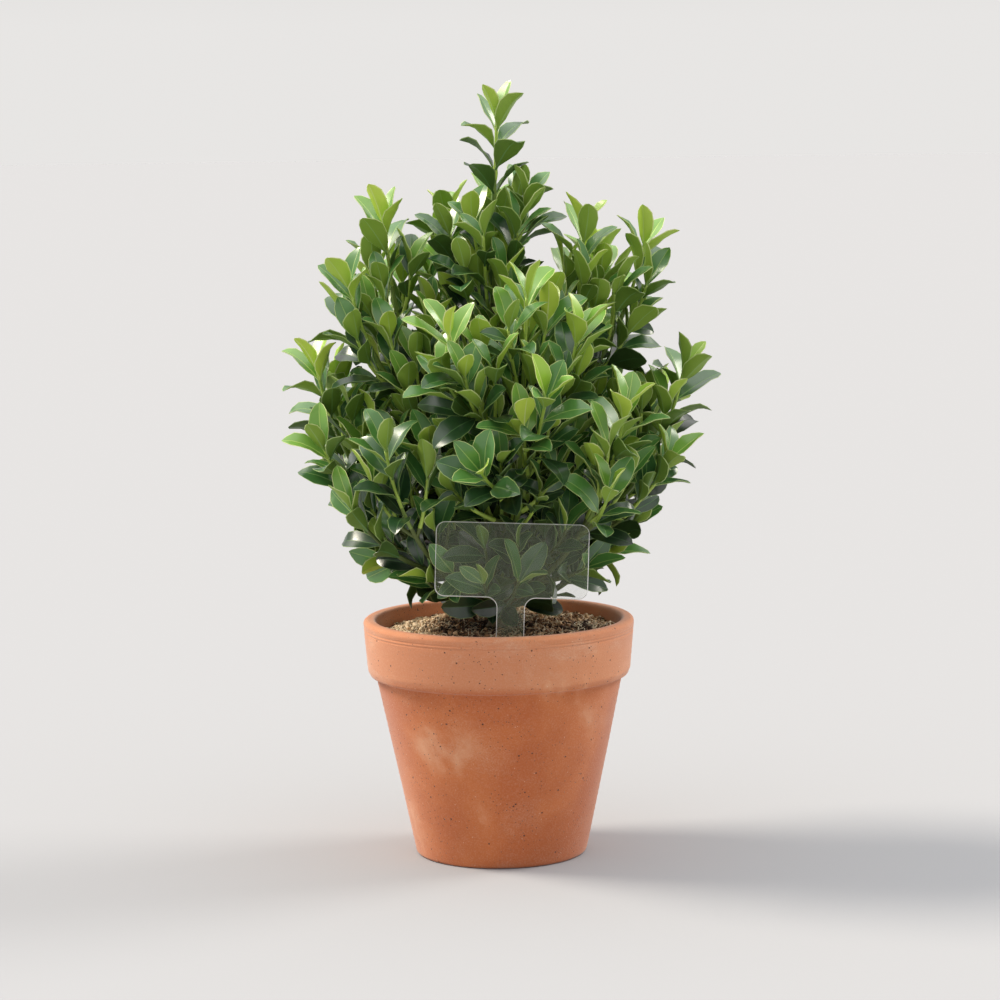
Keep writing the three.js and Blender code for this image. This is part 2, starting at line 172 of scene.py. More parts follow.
def grid_faces(rows: int, columns: int, closed: bool = False) -> Array:
    """Quads of a grid of corners numbered row by row.

    Args:
        rows: corner rows.
        columns: corners in a row.
        closed: whether the last column joins the first.

    Returns:
        Corner numbers, one quad a row.
    """
    row, column = np.meshgrid(np.arange(rows - 1), np.arange(columns - (not closed)), indexing="ij")
    after = (column + 1) % columns
    here, there = row * columns + column, row * columns + after
    return np.stack([here, there, there + columns, here + columns], -1).reshape(-1, 4)


def closed_rings(rings: Array, ends: Array, finish: Array | int = 0) -> Shape:
    """A surface through rings of corners, closed by a fan at each end.

    Args:
        rings: corners by ring and side, each ring anticlockwise seen from the last one.
        ends: the middle of the first fan and of the last.
        finish: one finish number, or one for each stretch between two rings.

    Returns:
        The closed shape.
    """
    count, sides = rings.shape[:2]
    shape = Shape(np.concatenate([rings.reshape(-1, 3), ends]))
    finish = np.broadcast_to(np.asarray(finish, int), count - 1)
    shape.add(grid_faces(count, sides, closed=True), np.repeat(finish, sides))
    here, after = np.arange(sides), (np.arange(sides) + 1) % sides
    foot, top = count * sides, (count - 1) * sides
    shape.add(np.stack([np.full(sides, foot), after, here], -1), finish[0])
    return shape.add(np.stack([np.full(sides, foot + 1), top + here, top + after], -1), finish[-1])


def lathe(profile: Array, columns: int, push: Callable[[Array], Array]) -> Shape:
    """A profile turned round the upright axis, closed where it starts and ends on the axis.

    A corner is (r * cos a, r * sin a, z) for each point (r, z) of the profile and each angle a.

    Args:
        profile: radius and height, one point a row, walked so that the outside is on its right.
        columns: corners round the axis.
        push: moves the ring corners, given and returned as an array of rows, columns and x, y, z.

    Returns:
        The closed shape.
    """
    angles = np.arange(columns) * TURN / columns
    radius, height = profile[1:-1, :1], profile[1:-1, 1:]
    rings = np.stack([radius * np.cos(angles), radius * np.sin(angles), height + 0 * angles], -1)
    ends = [[0, 0, profile[0, 1]], [0, 0, profile[-1, 1]]]
    return closed_rings(push(rings), ends)


def rounded(points: Sequence[tuple[float, float, float]], steps: int = 5) -> Array:
    """A line of straight stretches whose corners are arcs.

    Args:
        points: each corner's x and y and the radius of its arc.
        steps: stretches in each arc.

    Returns:
        The points of the line.
    """
    places = np.array([point[:2] for point in points])
    line = [places[0]]
    for i in range(1, len(points) - 1):
        radius = points[i][2]
        before, after = unit(places[i - 1] - places[i]), unit(places[i + 1] - places[i])
        half = math.acos(float(np.clip(before @ after, -1, 1))) / 2
        middle = places[i] + unit(before + after) * radius / math.sin(half)
        start = places[i] + before * radius / math.tan(half) - middle
        sweep = math.pi - 2 * half
        turn = math.copysign(1, float(start[0] * -before[1] + start[1] * before[0]))
        for angle in np.linspace(0, sweep, steps + 1) * turn:
            across = np.array([-start[1], start[0]])
            line.append(middle + start * math.cos(angle) + across * math.sin(angle))
    line.append(places[-1])
    return np.array(line)


def refined(line: Array, longest: float) -> Array:
    """The same line with points added.

    Args:
        line: points, one a row.
        longest: the greatest length that a stretch may have.

    Returns:
        The points of the finer line.
    """
    pieces = []
    for start, end in zip(line[:-1], line[1:]):
        count = max(1, math.ceil(float(np.linalg.norm(end - start)) / longest))
        pieces.append(start + (end - start) * np.arange(count)[:, None] / count)
    return np.concatenate([*pieces, line[-1:]])


def tube(centres: Array, across: Array, outwards: Array, radii: Array, finish: Array | int = 0) -> Shape:
    """A closed tube round a path.

    A corner is c + r * (o * cos a + s * sin a), with c the path, r the radius and o and s the axes across it.

    Args:
        centres: points of the path.
        across: the axis across the path at each point.
        outwards: the other axis across it, so that outwards x across runs along the path.
        radii: a radius for each point and side.
        finish: one finish number, or one for each stretch of the path.

    Returns:
        The shape, with a fan at each end.
    """
    angles = np.arange(radii.shape[1]) * TURN / radii.shape[1]
    spokes = outwards[:, None] * np.cos(angles)[:, None] + across[:, None] * np.sin(angles)[:, None]
    return closed_rings(centres[:, None] + radii[..., None] * spokes, centres[[0, -1]], finish)


def linear(code: str) -> tuple[float, float, float, float]:
    """A screen colour as the linear colour that a shader reads.

    Args:
        code: red, green and blue in two hexadecimal digits each, such as "c67d5a".

    Returns:
        Red, green, blue and an opacity of one.
    """
    screen = np.array([int(code[i : i + 2], 16) for i in (0, 2, 4)]) / 255
    light = np.where(screen <= 0.04045, screen / 12.92, ((screen + 0.055) / 1.055) ** 2.4)
    return (*light.tolist(), 1.0)


class Graph:
    """The nodes of one material, added and joined by short calls."""

    def __init__(self, name: str, patterned: bool = True) -> None:
        """Starts a material with a lone Principled shader.

        Args:
            name: the material's name.
            patterned: whether it reads the piece's own coordinates.
        """
        self.material = bpy.data.materials.new(name)
        self.material.use_nodes = True
        self.tree = self.material.node_tree
        self.shader = next(node for node in self.tree.nodes if node.type == "BSDF_PRINCIPLED")
        self.places = self.node("ShaderNodeTexCoord").outputs["Object"] if patterned else None

    def node(self, kind: str, **settings: object) -> bpy.types.Node:
        """Adds a node.

        Args:
            kind: the node's type name.
            settings: properties of the node.

        Returns:
            The node.
        """
        node = self.tree.nodes.new(kind)
        for name, value in settings.items():
            setattr(node, name, value)
        return node

    def feed(self, socket: bpy.types.NodeSocket, value: object) -> None:
        """Fills an input.

        Args:
            socket: the input.
            value: a plain value, or another node's output, which is then linked.
        """
        if isinstance(value, bpy.types.NodeSocket):
            self.tree.links.new(value, socket)
        else:
            socket.default_value = value

    def set(self, **values: object) -> "Graph":
        """Fills inputs of the shader.

        Args:
            values: a value for each input, named in lower case with underscores.

        Returns:
            The graph itself.
        """
        names = {socket.name.lower().replace(" ", "_"): socket for socket in self.shader.inputs}
        for name, value in values.items():
            self.feed(names[name], value)
        return self

    def stretched(self, stretch: tuple[float, float, float]) -> bpy.types.NodeSocket:
        """The piece's own coordinates, scaled.

        Args:
            stretch: the scale on each axis.

        Returns:
            The scaled coordinates.
        """
        node = self.node("ShaderNodeMapping")
        self.feed(node.inputs["Vector"], self.places)
        self.feed(node.inputs["Scale"], stretch)
        return node.outputs["Vector"]

    def noise(
        self,
        size: float,
        detail: float = 3,
        roughness: float = 0.55,
        distortion: float = 0,
        places: bpy.types.NodeSocket | None = None,
    ) -> bpy.types.NodeSocket:
        """Cloudy noise.

        Args:
            size: the width of its largest lumps, in metres.
            detail: layers of finer noise.
            roughness: strength of the finer layers.
            distortion: how far the lumps are stirred.
            places: coordinates, or the piece's own.

        Returns:
            The factor output, about 0.5 on average.
        """
        node = self.node("ShaderNodeTexNoise")
        self.feed(node.inputs["Vector"], places or self.places)
        self.feed(node.inputs["Scale"], 1 / size)
        self.feed(node.inputs["Detail"], detail)
        self.feed(node.inputs["Roughness"], roughness)
        self.feed(node.inputs["Distortion"], distortion)
        return node.outputs["Fac"]

    def spots(self, size: float, places: bpy.types.NodeSocket | None = None) -> bpy.types.NodeSocket:
        """How far each place is from the nearest of many scattered points.

        Args:
            size: metres that the points lie apart, about.
            places: coordinates, or the piece's own.

        Returns:
            The distance, in sizes.
        """
        node = self.node("ShaderNodeTexVoronoi")
        self.feed(node.inputs["Vector"], places or self.places)
        self.feed(node.inputs["Scale"], 1 / size)
        return node.outputs["Distance"]

    def band(self, value: bpy.types.NodeSocket, low: float, high: float) -> bpy.types.NodeSocket:
        """Maps a value to a share, held at both ends.

        Args:
            value: the value.
            low: where the share is 0.
            high: where it is 1, above or below low.

        Returns:
            The share.
        """
        node = self.node("ShaderNodeMapRange", interpolation_type="SMOOTHSTEP")
        self.feed(node.inputs["Value"], value)
        self.feed(node.inputs["From Min"], low)
        self.feed(node.inputs["From Max"], high)
        return node.outputs["Result"]

    def math(self, operation: str, first: object, second: object) -> bpy.types.NodeSocket:
        """One arithmetic step.

        Args:
            operation: its name in Blender.
            first: a value or an output.
            second: another.

        Returns:
            The result.
        """
        node = self.node("ShaderNodeMath", operation=operation)
        self.feed(node.inputs[0], first)
        self.feed(node.inputs[1], second)
        return node.outputs[0]

    def scaled(self, value: bpy.types.NodeSocket, factor: object) -> bpy.types.NodeSocket:
        """A value times a factor."""
        return self.math("MULTIPLY", value, factor)

    def mix(self, share: object, first: object, second: object) -> bpy.types.NodeSocket:
        """A colour between two colours.

        Args:
            share: how far it lies from the first to the second.
            first: a colour or an output.
            second: another.

        Returns:
            The colour.
        """
        node = self.node("ShaderNodeMix", data_type="RGBA")
        self.feed(node.inputs["Factor"], share)
        self.feed(node.inputs[6], first)
        self.feed(node.inputs[7], second)
        return node.outputs[2]

    def height(self) -> bpy.types.NodeSocket:
        """The piece's own Z.

        Returns:
            The height in metres.
        """
        node = self.node("ShaderNodeSeparateXYZ")
        self.feed(node.inputs[0], self.places)
        return node.outputs["Z"]

    def bump(self, height: bpy.types.NodeSocket, depth: float, strength: float = 1) -> bpy.types.NodeSocket:
        """A surface normal bent by a height.

        Args:
            height: the height, from 0 to 1.
            depth: metres that 1 stands for.
            strength: share of the effect.

        Returns:
            The normal output.
        """
        node = self.node("ShaderNodeBump")
        self.feed(node.inputs["Height"], height)
        self.feed(node.inputs["Distance"], depth)
        self.feed(node.inputs["Strength"], strength)
        return node.outputs["Normal"]


@dataclass(frozen=True)
class Even:
    """A finish that is the same all over its faces."""

    name: str
    colour: str
    roughness: float
    specular: float = 0.5
    coat: float = 0.0
    coat_roughness: float = 0.1

    def material(self) -> bpy.types.Material:
        """Makes the material with plain values on the shader."""
        graph = Graph(self.name, patterned=False)
        return graph.set(
            base_color=linear(self.colour),
            roughness=self.roughness,
            specular_ior_level=self.specular,
            coat_weight=self.coat,
            coat_roughness=self.coat_roughness,
        ).material


@dataclass(frozen=True)
class Terracotta:
    """Unglazed fired clay: mottled orange, paler on the collar as painted light, with thin bloom, dark pits
    and pale grit.
    """

    name: str = "terracotta"
    clay: str = "cc7642"
    deep: str = "bb6434"
    pale: str = "dfa27c"
    bloom: str = "dcbda6"
    pit: str = "43251a"
    grit: str = "e6cbb2"
    roughness: float = 0.88
    dust: float = 0.3
    dust_roughness: float = 0.45
    cloud: float = 52 * MM
    deep_band: tuple[float, float] = (0.36, 0.62)
    pale_band: tuple[float, float] = (0.44, 0.28)
    palest: float = 0.85
    collar_edge: tuple[float, float] = (-MM, 5 * MM)
    collar_painted_light: float = 0.44
    bloom_cloud: float = 46 * MM
    bloom_band: tuple[float, float] = (0.52, 0.74)
    bloom_grain: tuple[float, float] = (0.25, 0.6)
    bloom_share: float = 0.15
    collar_bloom: float = 0.34
    grain: float = 0.7 * MM
    grain_band: tuple[float, float] = (0.42, 0.75)
    grain_share: float = 0.13
    grain_relief: float = 0.4
    pit_patch: float = 22 * MM
    wide_pits: tuple[float, float, float] = (5.4 * MM, 0.095, 0.45)
    fine_pits: tuple[float, float, float] = (1.9 * MM, 0.14, 0.54)
    pit_share: float = 0.85
    pit_depth: float = 0.38 * MM
    grit_spacing: float = 4.2 * MM
    grit_size: float = 0.07
    grit_share: float = 0.6

    def material(self, neck: float) -> bpy.types.Material:
        """Makes the material: clouds of deeper and paler clay, thin bloom, then pits and grit on top.

        Args:
            neck: height of the collar's lower edge, above which the clay is painted paler as painted light.

        Returns:
            The material.
        """
        graph = Graph(self.name)
        clouds = graph.noise(self.cloud, 5, 0.55, 0.4)
        colour = graph.mix(graph.band(clouds, *self.deep_band), linear(self.clay), linear(self.deep))
        collar = graph.band(graph.height(), *(neck + edge for edge in self.collar_edge))
        # Painted light: the collar is painted paler than the body, for the light that falls on it from above.
        painted_collar_light = graph.scaled(collar, self.collar_painted_light)
        paler = graph.math("ADD", graph.band(clouds, *self.pale_band), painted_collar_light)
        colour = graph.mix(graph.math("MINIMUM", paler, self.palest), colour, linear(self.pale))
        fine = graph.noise(self.grain, 2, 0.7)
        patches = graph.noise(self.bloom_cloud, 6, 0.62, 0.6, graph.stretched((1.0, 1.0, 1.5)))
        bloom = graph.scaled(graph.band(patches, *self.bloom_band), graph.band(fine, *self.bloom_grain))
        worn = graph.math("ADD", graph.scaled(collar, self.collar_bloom), self.bloom_share)
        colour = graph.mix(graph.scaled(bloom, worn), colour, linear(self.bloom))
        grainy = graph.scaled(graph.band(fine, *self.grain_band), self.grain_share)
        colour = graph.mix(grainy, colour, linear(self.grit))
        wide = self.pits(graph, *self.wide_pits)
        pits = graph.math("MAXIMUM", wide, self.pits(graph, *self.fine_pits))
        colour = graph.mix(graph.scaled(pits, self.pit_share), colour, linear(self.pit))
        moved = graph.stretched((1.13, 0.91, 1.07))
        grits = graph.band(graph.spots(self.grit_spacing, moved), self.grit_size, self.grit_size * 0.5)
        colour = graph.mix(graph.scaled(grits, self.grit_share), colour, linear(self.grit))
        relief = graph.math("SUBTRACT", graph.scaled(fine, self.grain_relief), pits)
        graph.set(sheen_weight=self.dust, sheen_roughness=self.dust_roughness)
        graph.set(roughness=self.roughness, normal=graph.bump(relief, self.pit_depth, 0.8))
        return graph.set(base_color=colour).material

    def pits(self, graph: Graph, spacing: float, size: float, crowding: float) -> bpy.types.NodeSocket:
        """Small round pits that crowd together in patches.

        Args:
            graph: the material's nodes.
            spacing: metres from one to the next where they crowd.
            size: their radius there, in spacings.
            crowding: the patches' noise value at which they are full size.

        Returns:
            1 in a pit and 0 outside.
        """
        crowd = graph.band(graph.noise(self.pit_patch, 2), crowding - 0.22, crowding)
        reach = graph.scaled(crowd, size)
        return graph.band(graph.math("SUBTRACT", graph.spots(spacing), reach), 0.0, -0.25 * size)


@dataclass(frozen=True)
class Soil:
    """Potting compost: dark brown peat with paler, drier crumbs."""

    name: str = "compost"
    dark: str = "3a271c"
    brown: str = "846549"
    dry: str = "d1b18c"
    roughness: float = 0.95
    crumb: float = 1.3 * MM
    crumb_depth: float = 1.2 * MM
    patch: float = 24 * MM
    brown_band: tuple[float, float] = (0.38, 0.6)
    dry_band: tuple[float, float] = (0.24, 0.36)

    def material(self) -> bpy.types.Material:
        """Makes the material: crumbs of two browns, with drier patches."""
        graph = Graph(self.name)
        crumbs = graph.noise(self.crumb, 4, 0.7)
        colour = graph.mix(graph.band(crumbs, *self.brown_band), linear(self.dark), linear(self.brown))
        patches = graph.scaled(graph.noise(self.patch, 2), crumbs)
        colour = graph.mix(graph.band(patches, *self.dry_band), colour, linear(self.dry))
        normal = graph.bump(crumbs, self.crumb_depth)
        return graph.set(base_color=colour, roughness=self.roughness, normal=normal).material


@dataclass(frozen=True)
class Bark:
    """Young bark: olive brown at the foot, greener above, streaked along the stem with pale corky flecks."""

    name: str = "bark"
    woody: str = "6b5a3c"
    green: str = "76803f"
    cork: str = "a5936c"
    low: float = 108 * MM
    high: float = 165 * MM
    roughness: float = 0.72
    streak: float = 1.3 * MM
    streak_depth: float = 0.4 * MM
    fleck_band: tuple[float, float] = (0.52, 0.72)
    fleck_share: float = 0.6

    def material(self) -> bpy.types.Material:
        """Makes the material: wood turns to green with height, with streaks drawn out along Z."""
        graph = Graph(self.name)
        rising = graph.band(graph.height(), self.low, self.high)
        colour = graph.mix(rising, linear(self.woody), linear(self.green))
        streaks = graph.noise(self.streak, 4, 0.65, places=graph.stretched((1.0, 1.0, 0.28)))
        flecks = graph.scaled(graph.band(streaks, *self.fleck_band), self.fleck_share)
        colour = graph.mix(flecks, colour, linear(self.cork))
        normal = graph.bump(streaks, self.streak_depth)
        return graph.set(base_color=colour, roughness=self.roughness, normal=normal).material


@dataclass(frozen=True)
class ClearPlastic:
    """Clear sheet with a thin haze. A sawn edge is the same plastic, brighter, rougher and less clear."""

    name: str
    tint: str
    roughness: float
    haze: float
    coat: float = 0.6

    def material(self) -> bpy.types.Material:
        """Makes the material with plain values on the shader."""
        graph = Graph(self.name, patterned=False)
        graph.set(base_color=linear(self.tint), roughness=self.roughness)
        return graph.set(alpha=self.haze, coat_weight=self.coat).material


def piece(
    name: str,
    shape: Shape,
    finishes: Sequence[bpy.types.Material],
    replaces: Sequence[str] = (),
    crease: float | None = None,
) -> bpy.types.Object:
    """Makes one finished piece of the object, in place, on the root body.

    Args:
        name: the piece's name.
        shape: its corners and faces, in metres in the frame.
        finishes: materials, in the order of the shape's finish numbers.
        replaces: the CAD nodes that it stands for.
        crease: faces that meet at more than this angle in degrees have a crisp edge.

    Returns:
        The object.
    """
    sizes = np.concatenate([np.full(len(faces), faces.shape[1]) for faces in shape.groups])
    numbers = np.concatenate([faces.ravel() for faces in shape.groups])
    mesh = bpy.data.meshes.new(name)
    mesh.vertices.add(len(shape.corners))
    mesh.vertices.foreach_set("co", shape.corners.astype(np.float32).ravel())
    mesh.loops.add(len(numbers))
    mesh.loops.foreach_set("vertex_index", numbers.astype(np.int32))
    mesh.polygons.add(len(sizes))
    mesh.polygons.foreach_set("loop_start", (np.cumsum(sizes) - sizes).astype(np.int32))
    mesh.polygons.foreach_set("material_index", np.concatenate(shape.finishes).astype(np.int32))
    mesh.polygons.foreach_set("use_smooth", np.ones(len(sizes), bool))
    for finish in finishes:
        mesh.materials.append(finish)
    mesh.update(calc_edges=True)
    mesh.validate()
    if crease is not None:
        mesh.set_sharp_from_angle(angle=math.radians(crease))
    made = bpy.data.objects.new(name, mesh)
    bpy.context.scene.collection.objects.link(made)
    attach(made, "root")
    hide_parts(*replaces)
    log.info("%s: %d faces, stands for %s", name, len(sizes), ", ".join(replaces) or "no node of its own")
    return made


@dataclass
class Pot:
    """Tapered terracotta pot with a deep collar, a rounded lip and two faint grooves under it."""

    lip_radius: float = 2.5 * MM
    lip_width: float = 6.2 * MM
    collar_height: float = 27.2 * MM
    collar_draft: float = 2 * MM
    collar_step: float = 3.8 * MM
    step_radius: float = 1.4 * MM
    step_slope: tuple[float, float] = (1.1 * MM, 3.2 * MM)
    foot_radius: float = 40.9 * MM
    foot_rounding: float = 2 * MM
    wall: float = 5 * MM
    floor: float = 7 * MM
    grooves: tuple[float, ...] = (4.3 * MM, 5.7 * MM)
    groove_depth: float = 0.34 * MM
    groove_width: float = 0.42 * MM
    groove_zone: float = 8 * MM
    throwing_pitch: float = 3.4 * MM
    throwing_height: float = 0.07 * MM
    throwing_drift: float = 2.2
    unevenness: float = 0.2 * MM
    uneven_size: float = 46 * MM
    groove_fading: float = 0.25
    foot_fade: tuple[float, float] = (0.5 * MM, 4 * MM)
    underside_fade: tuple[float, float] = (20 * MM, 36 * MM)
    inner_bends: tuple[float, float] = (6 * MM, 4 * MM)
    columns: int = 180
    finest_step: float = 0.3 * MM
    outer_step: float = 1.5 * MM
    inner_step: float = 5 * MM
    finish: Terracotta = Terracotta()

    def __post_init__(self) -> None:
        """Reads the height and the rim from the frame."""
        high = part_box("pot")[1]
        self.height: float = high.z
        self.rim_radius: float = high.x
        self.neck: float = self.height - self.collar_height
        self.mouth_radius: float = self.rim_radius - self.lip_width

    def outer_profile(self) -> Array:
        """The outside from the middle of the foot to the top of the lip.

        Returns:
            The profile's radii and heights, one point a row.
        """
        collar = self.rim_radius - self.collar_draft
        corners = [
            (0, 0, 0),
            (self.foot_radius, 0, self.foot_rounding),
            (collar - self.collar_step, self.neck, self.step_radius * 1.3),
            (collar - self.step_slope[0], self.neck, self.step_radius),
            (collar, self.neck + self.step_slope[1], self.step_radius * 5),
            (self.rim_radius, self.height, self.lip_radius),
            (self.rim_radius - self.lip_width / 2, self.height, 0),
        ]
        return rounded(corners)

    def inner_profile(self) -> Array:
        """The inside from the top of the lip to the middle of the floor.

        Returns:
            The profile's radii and heights, one point a row.
        """
        narrow = self.rim_radius - self.collar_draft - self.collar_step - self.wall
        corners = [
            (self.rim_radius - self.lip_width / 2, self.height, 0),
            (self.mouth_radius, self.height, self.lip_radius),
            (narrow, self.neck, self.inner_bends[0]),
            (self.foot_radius - self.wall, self.floor, self.inner_bends[1]),
            (0, self.floor, 0),
        ]
        return rounded(corners)

    def relief(self, rings: Array) -> Array:
        """Moves the wall in and out by throwing lines, grooves and the unevenness of hand work.

        The radius changes by h * sin(2 pi z / p + n) for the lines, by -d * exp(-(z - g)^2 / w^2) for each
        groove, and by slow noise. The underside keeps its flat.

        Args:
            rings: corners by row and column.

        Returns:
            The moved corners.
        """
        places = rings.reshape(-1, 3)
        height = places[:, 2]
        radius = np.hypot(places[:, 0], places[:, 1])
        slow = rough_noise(places, self.uneven_size, 2)
        push = self.unevenness * slow
        lines = TURN * height / self.throwing_pitch + self.throwing_drift * slow
        push += self.throwing_height * np.sin(lines)
        for below in self.grooves:
            offset = (height - (self.height - below)) / self.groove_width
            depth = self.groove_depth * (1 - self.groove_fading + self.groove_fading * slow)
            push -= depth * np.exp(-(offset**2))
        push *= smooth_step(height, *self.foot_fade) * smooth_step(radius, *self.underside_fade)
        places = places * np.stack([1 + push / np.maximum(radius, MM)] * 2 + [np.ones(len(push))], -1)
        return places.reshape(rings.shape)

    def build(self) -> bpy.types.Object:
        """Makes the pot in place of its node.

        Returns:
            The finished piece.
        """
        outside = refined(self.outer_profile(), self.outer_step)
        grooved = outside[:, 1] > self.height - self.groove_zone
        first = int(np.argmax(grooved))
        lip = refined(outside[first:], self.finest_step)
        inside = refined(self.inner_profile(), self.inner_step)
        profile = np.concatenate([outside[:first], lip, inside[1:]])
        shape = lathe(profile, self.columns, self.relief)
        finish = self.finish.material(self.neck)
        return piece("terracotta_pot", shape, [finish], ["pot"], crease=50)


class Crumb(IntEnum):
    """Finishes of what lies loose on the compost."""

    PEAT = 0
    BROWN = 1
    DRY = 2
    PALE = 3
    STRAW = 4


@dataclass
class Compost:
    """Potting compost: a lumpy bed with loose crumbs, fine grains and dry rootlets on it.

    Crumbs and grains are each a count, a middling size and how much sizes differ.
    """

    pot: Pot
    level: float = 109 * MM
    edge_dip: float = 2.2 * MM
    mound: float = 1.3 * MM
    mound_azimuth: float = 50
    lump_height: float = 0.9 * MM
    lump_width: float = 8 * MM
    flat_radius: float = 10 * MM
    clod_height: float = 1.5 * MM
    clod_size: float = 5.5 * MM
    clod_base: float = 0.3
    clods_on_flat: float = 0.25
    rings: int = 70
    columns: int = 220
    depth: float = 16 * MM
    wall_gap: float = 0.4 * MM
    foot_inset: float = 3 * MM
    stem_room: float = 6.6 * MM
    label_room: tuple[float, float] = (9.5 * MM, 1.6 * MM)
    crumbs: tuple[int, float, float] = (5200, 0.5 * MM, 0.45)
    grains: tuple[int, float, float] = (9000, 0.4 * MM, 0.25)
    crumb_roughness: float = 0.14
    crumb_squash: tuple[float, float] = (0.6, 1.25)
    crumb_margin: float = 1.6 * MM
    crumb_lift: float = 0.3
    largest_crumb: float = 1.8 * MM
    rootlets: int = 330
    rootlet_points: int = 7
    rootlet_bend: float = 1.6
    rootlet_length: tuple[float, float] = (4 * MM, 13 * MM)
    rootlet_radius: tuple[float, float] = (0.1 * MM, 0.2 * MM)
    rootlet_lift: tuple[float, float] = (0.3 * MM, 0.9 * MM)
    rootlet_margin: float = 5 * MM
    # Crumbs carry painted shade in the middle round the stem and painted light on the lit left and back.
    dry_rim: float = 0.9
    dry_side: tuple[float, float] = (-0.3, 0.15)
    dry_patch: tuple[float, float] = (0.4, 21 * MM)
    dry_spread: float = 0.3
    dry_steps: tuple[float, ...] = (0.1, 0.42, 0.78)
    seed: int = 11
    finish: Soil = Soil()
    finishes: tuple[Even, ...] = (
        Even("peat_crumb", "3a271c", 0.95),
        Even("brown_crumb", "8d6a4c", 0.95),
        Even("dry_crumb", "d2b08a", 0.95),
        Even("pale_crumb", "eed8b8", 0.93),
        Even("dry_rootlet", "f2e3c6", 0.85),
    )

    def __post_init__(self) -> None:
        """Starts the seeded source of random numbers."""
        self.random = np.random.default_rng(self.seed)

    def surface(self, x: Array, y: Array) -> Array:
        """Height of the bed: the source's even lumps and lower edge, with finer clods on top.

        z = level + out * (h * sin(x / w + 1) * cos(y / w) - dip * (r / R)^2 + m * s) + clods, where out rises
        from 0 at the flat round the stem to 1, and s runs from -1 to 1 towards the side where it is heaped.

        Args:
            x: places across.
            y: places from front to back.

        Returns:
            Heights, of the same shape.
        """
        radius = np.hypot(x, y)
        out = smooth_step(radius, self.flat_radius, 2 * self.flat_radius)
        lump = np.sin(x / self.lump_width + 1) * np.cos(y / self.lump_width)
        edge = (radius / self.pot.mouth_radius) ** 2
        places = np.stack([x, y, 0 * x], -1).reshape(-1, 3)
        clods = rough_noise(places, self.clod_size, 4).reshape(np.shape(x)) - self.clod_base
        clods = clods * blend(self.clods_on_flat, 1, out)
        high = math.radians(self.mound_azimuth)
        slant = (x * math.cos(high) + y * math.sin(high)) / self.pot.mouth_radius
        bed = self.level + out * (self.lump_height * lump - self.edge_dip * edge + self.mound * slant)
        return bed + self.clod_height * clods

    def heaped(self, rings: Array) -> Array:
        """Lifts every ring but the lowest to the bed's surface."""
        rings[1:, :, 2] = self.surface(rings[1:, :, 0], rings[1:, :, 1])
        return rings

    def bed(self) -> Shape:
        """The bed: rings that rise up the pot's wall and run in over the surface to its middle.

        Returns:
            The closed shape.
        """
        widest = self.pot.mouth_radius - self.wall_gap
        inwards = widest * (np.arange(self.rings, 0, -1) / self.rings)
        radii = np.concatenate([[0, widest - self.foot_inset], inwards, [0]])
        heights = np.full(len(radii), self.surface(np.zeros(1), np.zeros(1))[0])
        heights[:2] = self.level - self.depth
        return lathe(np.column_stack([radii, heights]), self.columns, self.heaped)

    def dryness_and_painted_light(self, x: Array, y: Array) -> Array:
        """Which finish crumbs take: peat in the middle and drier towards the rim, which is partly painted
        shade round the stem, drier in patches, and paler on the left and back as painted light.

        Args:
            x: places across.
            y: places from front to back.

        Returns:
            Their finish numbers.
        """
        reach = self.pot.mouth_radius
        # Partly painted shade: crumbs in the middle, round the stem, are peat-dark, and drier ones lie
        # towards the rim.
        dry = self.dry_rim * (np.hypot(x, y) / reach) ** 1.5
        # Painted light: crumbs are paler on the left and towards the back, where the key light falls.
        dry += self.dry_side[0] * x / reach + self.dry_side[1] * y / reach
        dry += self.dry_patch[0] * value_noise(np.stack([x, y, 0 * x], -1), self.dry_patch[1])
        return np.digitize(dry + self.random.normal(0, self.dry_spread, len(x)), self.dry_steps)

    def free(self, x: Array, y: Array) -> Array:
        """Whether places are clear of the main stem and of the label's stem.

        Args:
            x: places across.
            y: places from front to back.

        Returns:
            An answer for each place.
        """
        low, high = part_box("label")
        across, thick = self.label_room
        stem = np.hypot(x, y) > self.stem_room
        beside = np.abs(x - (low.x + high.x) / 2) > across
        return stem & (beside | (y < low.y - thick) | (y > high.y + thick))

    def places(self, count: int, margin: float) -> tuple[Array, Array]:
        """Even random places on the bed, clear of what stands in it.

        Args:
            count: how many to draw before the taken ones are left out.
            margin: free space to the pot's wall.

        Returns:
            The x and y of the places.
        """
        reach = self.pot.mouth_radius - margin
        radius = reach * np.sqrt(self.random.random(count))
        angle = TURN * self.random.random(count)
        x, y = radius * np.cos(angle), radius * np.sin(angle)
        free = self.free(x, y)
        return x[free], y[free]

    def loose(self, body: Array, faces: Array, count: int, middling: float, spread: float) -> Shape:
        """Loose bits of one kind, each squashed, roughened and turned its own way.

        Args:
            body: corners of the kind's regular solid, one unit from its middle.
            faces: its triangles.
            count: how many to scatter.
            middling: the size of a middling bit.
            spread: how much sizes differ.

        Returns:
            All of them as one shape.
        """
        random = self.random
        x, y = self.places(count, self.crumb_margin)
        size = np.minimum(middling * np.exp(random.normal(0, spread, len(x))), self.largest_crumb)
        bodies = body * (1 + random.normal(0, self.crumb_roughness, (len(x), len(body), 1)))
        bodies = bodies * random.uniform(*self.crumb_squash, (len(x), 1, 3))
        turned_round = turns(unit(random.normal(size=(len(x), 4))))
        bodies = np.einsum("nij,nkj->nki", turned_round, bodies) * size[:, None, None]
        centres = np.stack([x, y, self.surface(x, y) + self.crumb_lift * size], -1)
        shape = Shape((bodies + centres[:, None]).reshape(-1, 3))
        offsets = len(body) * np.arange(len(x))[:, None, None]
        return shape.add((faces + offsets).reshape(-1, 3), np.repeat(self.dryness_and_painted_light(x, y), len(faces)))

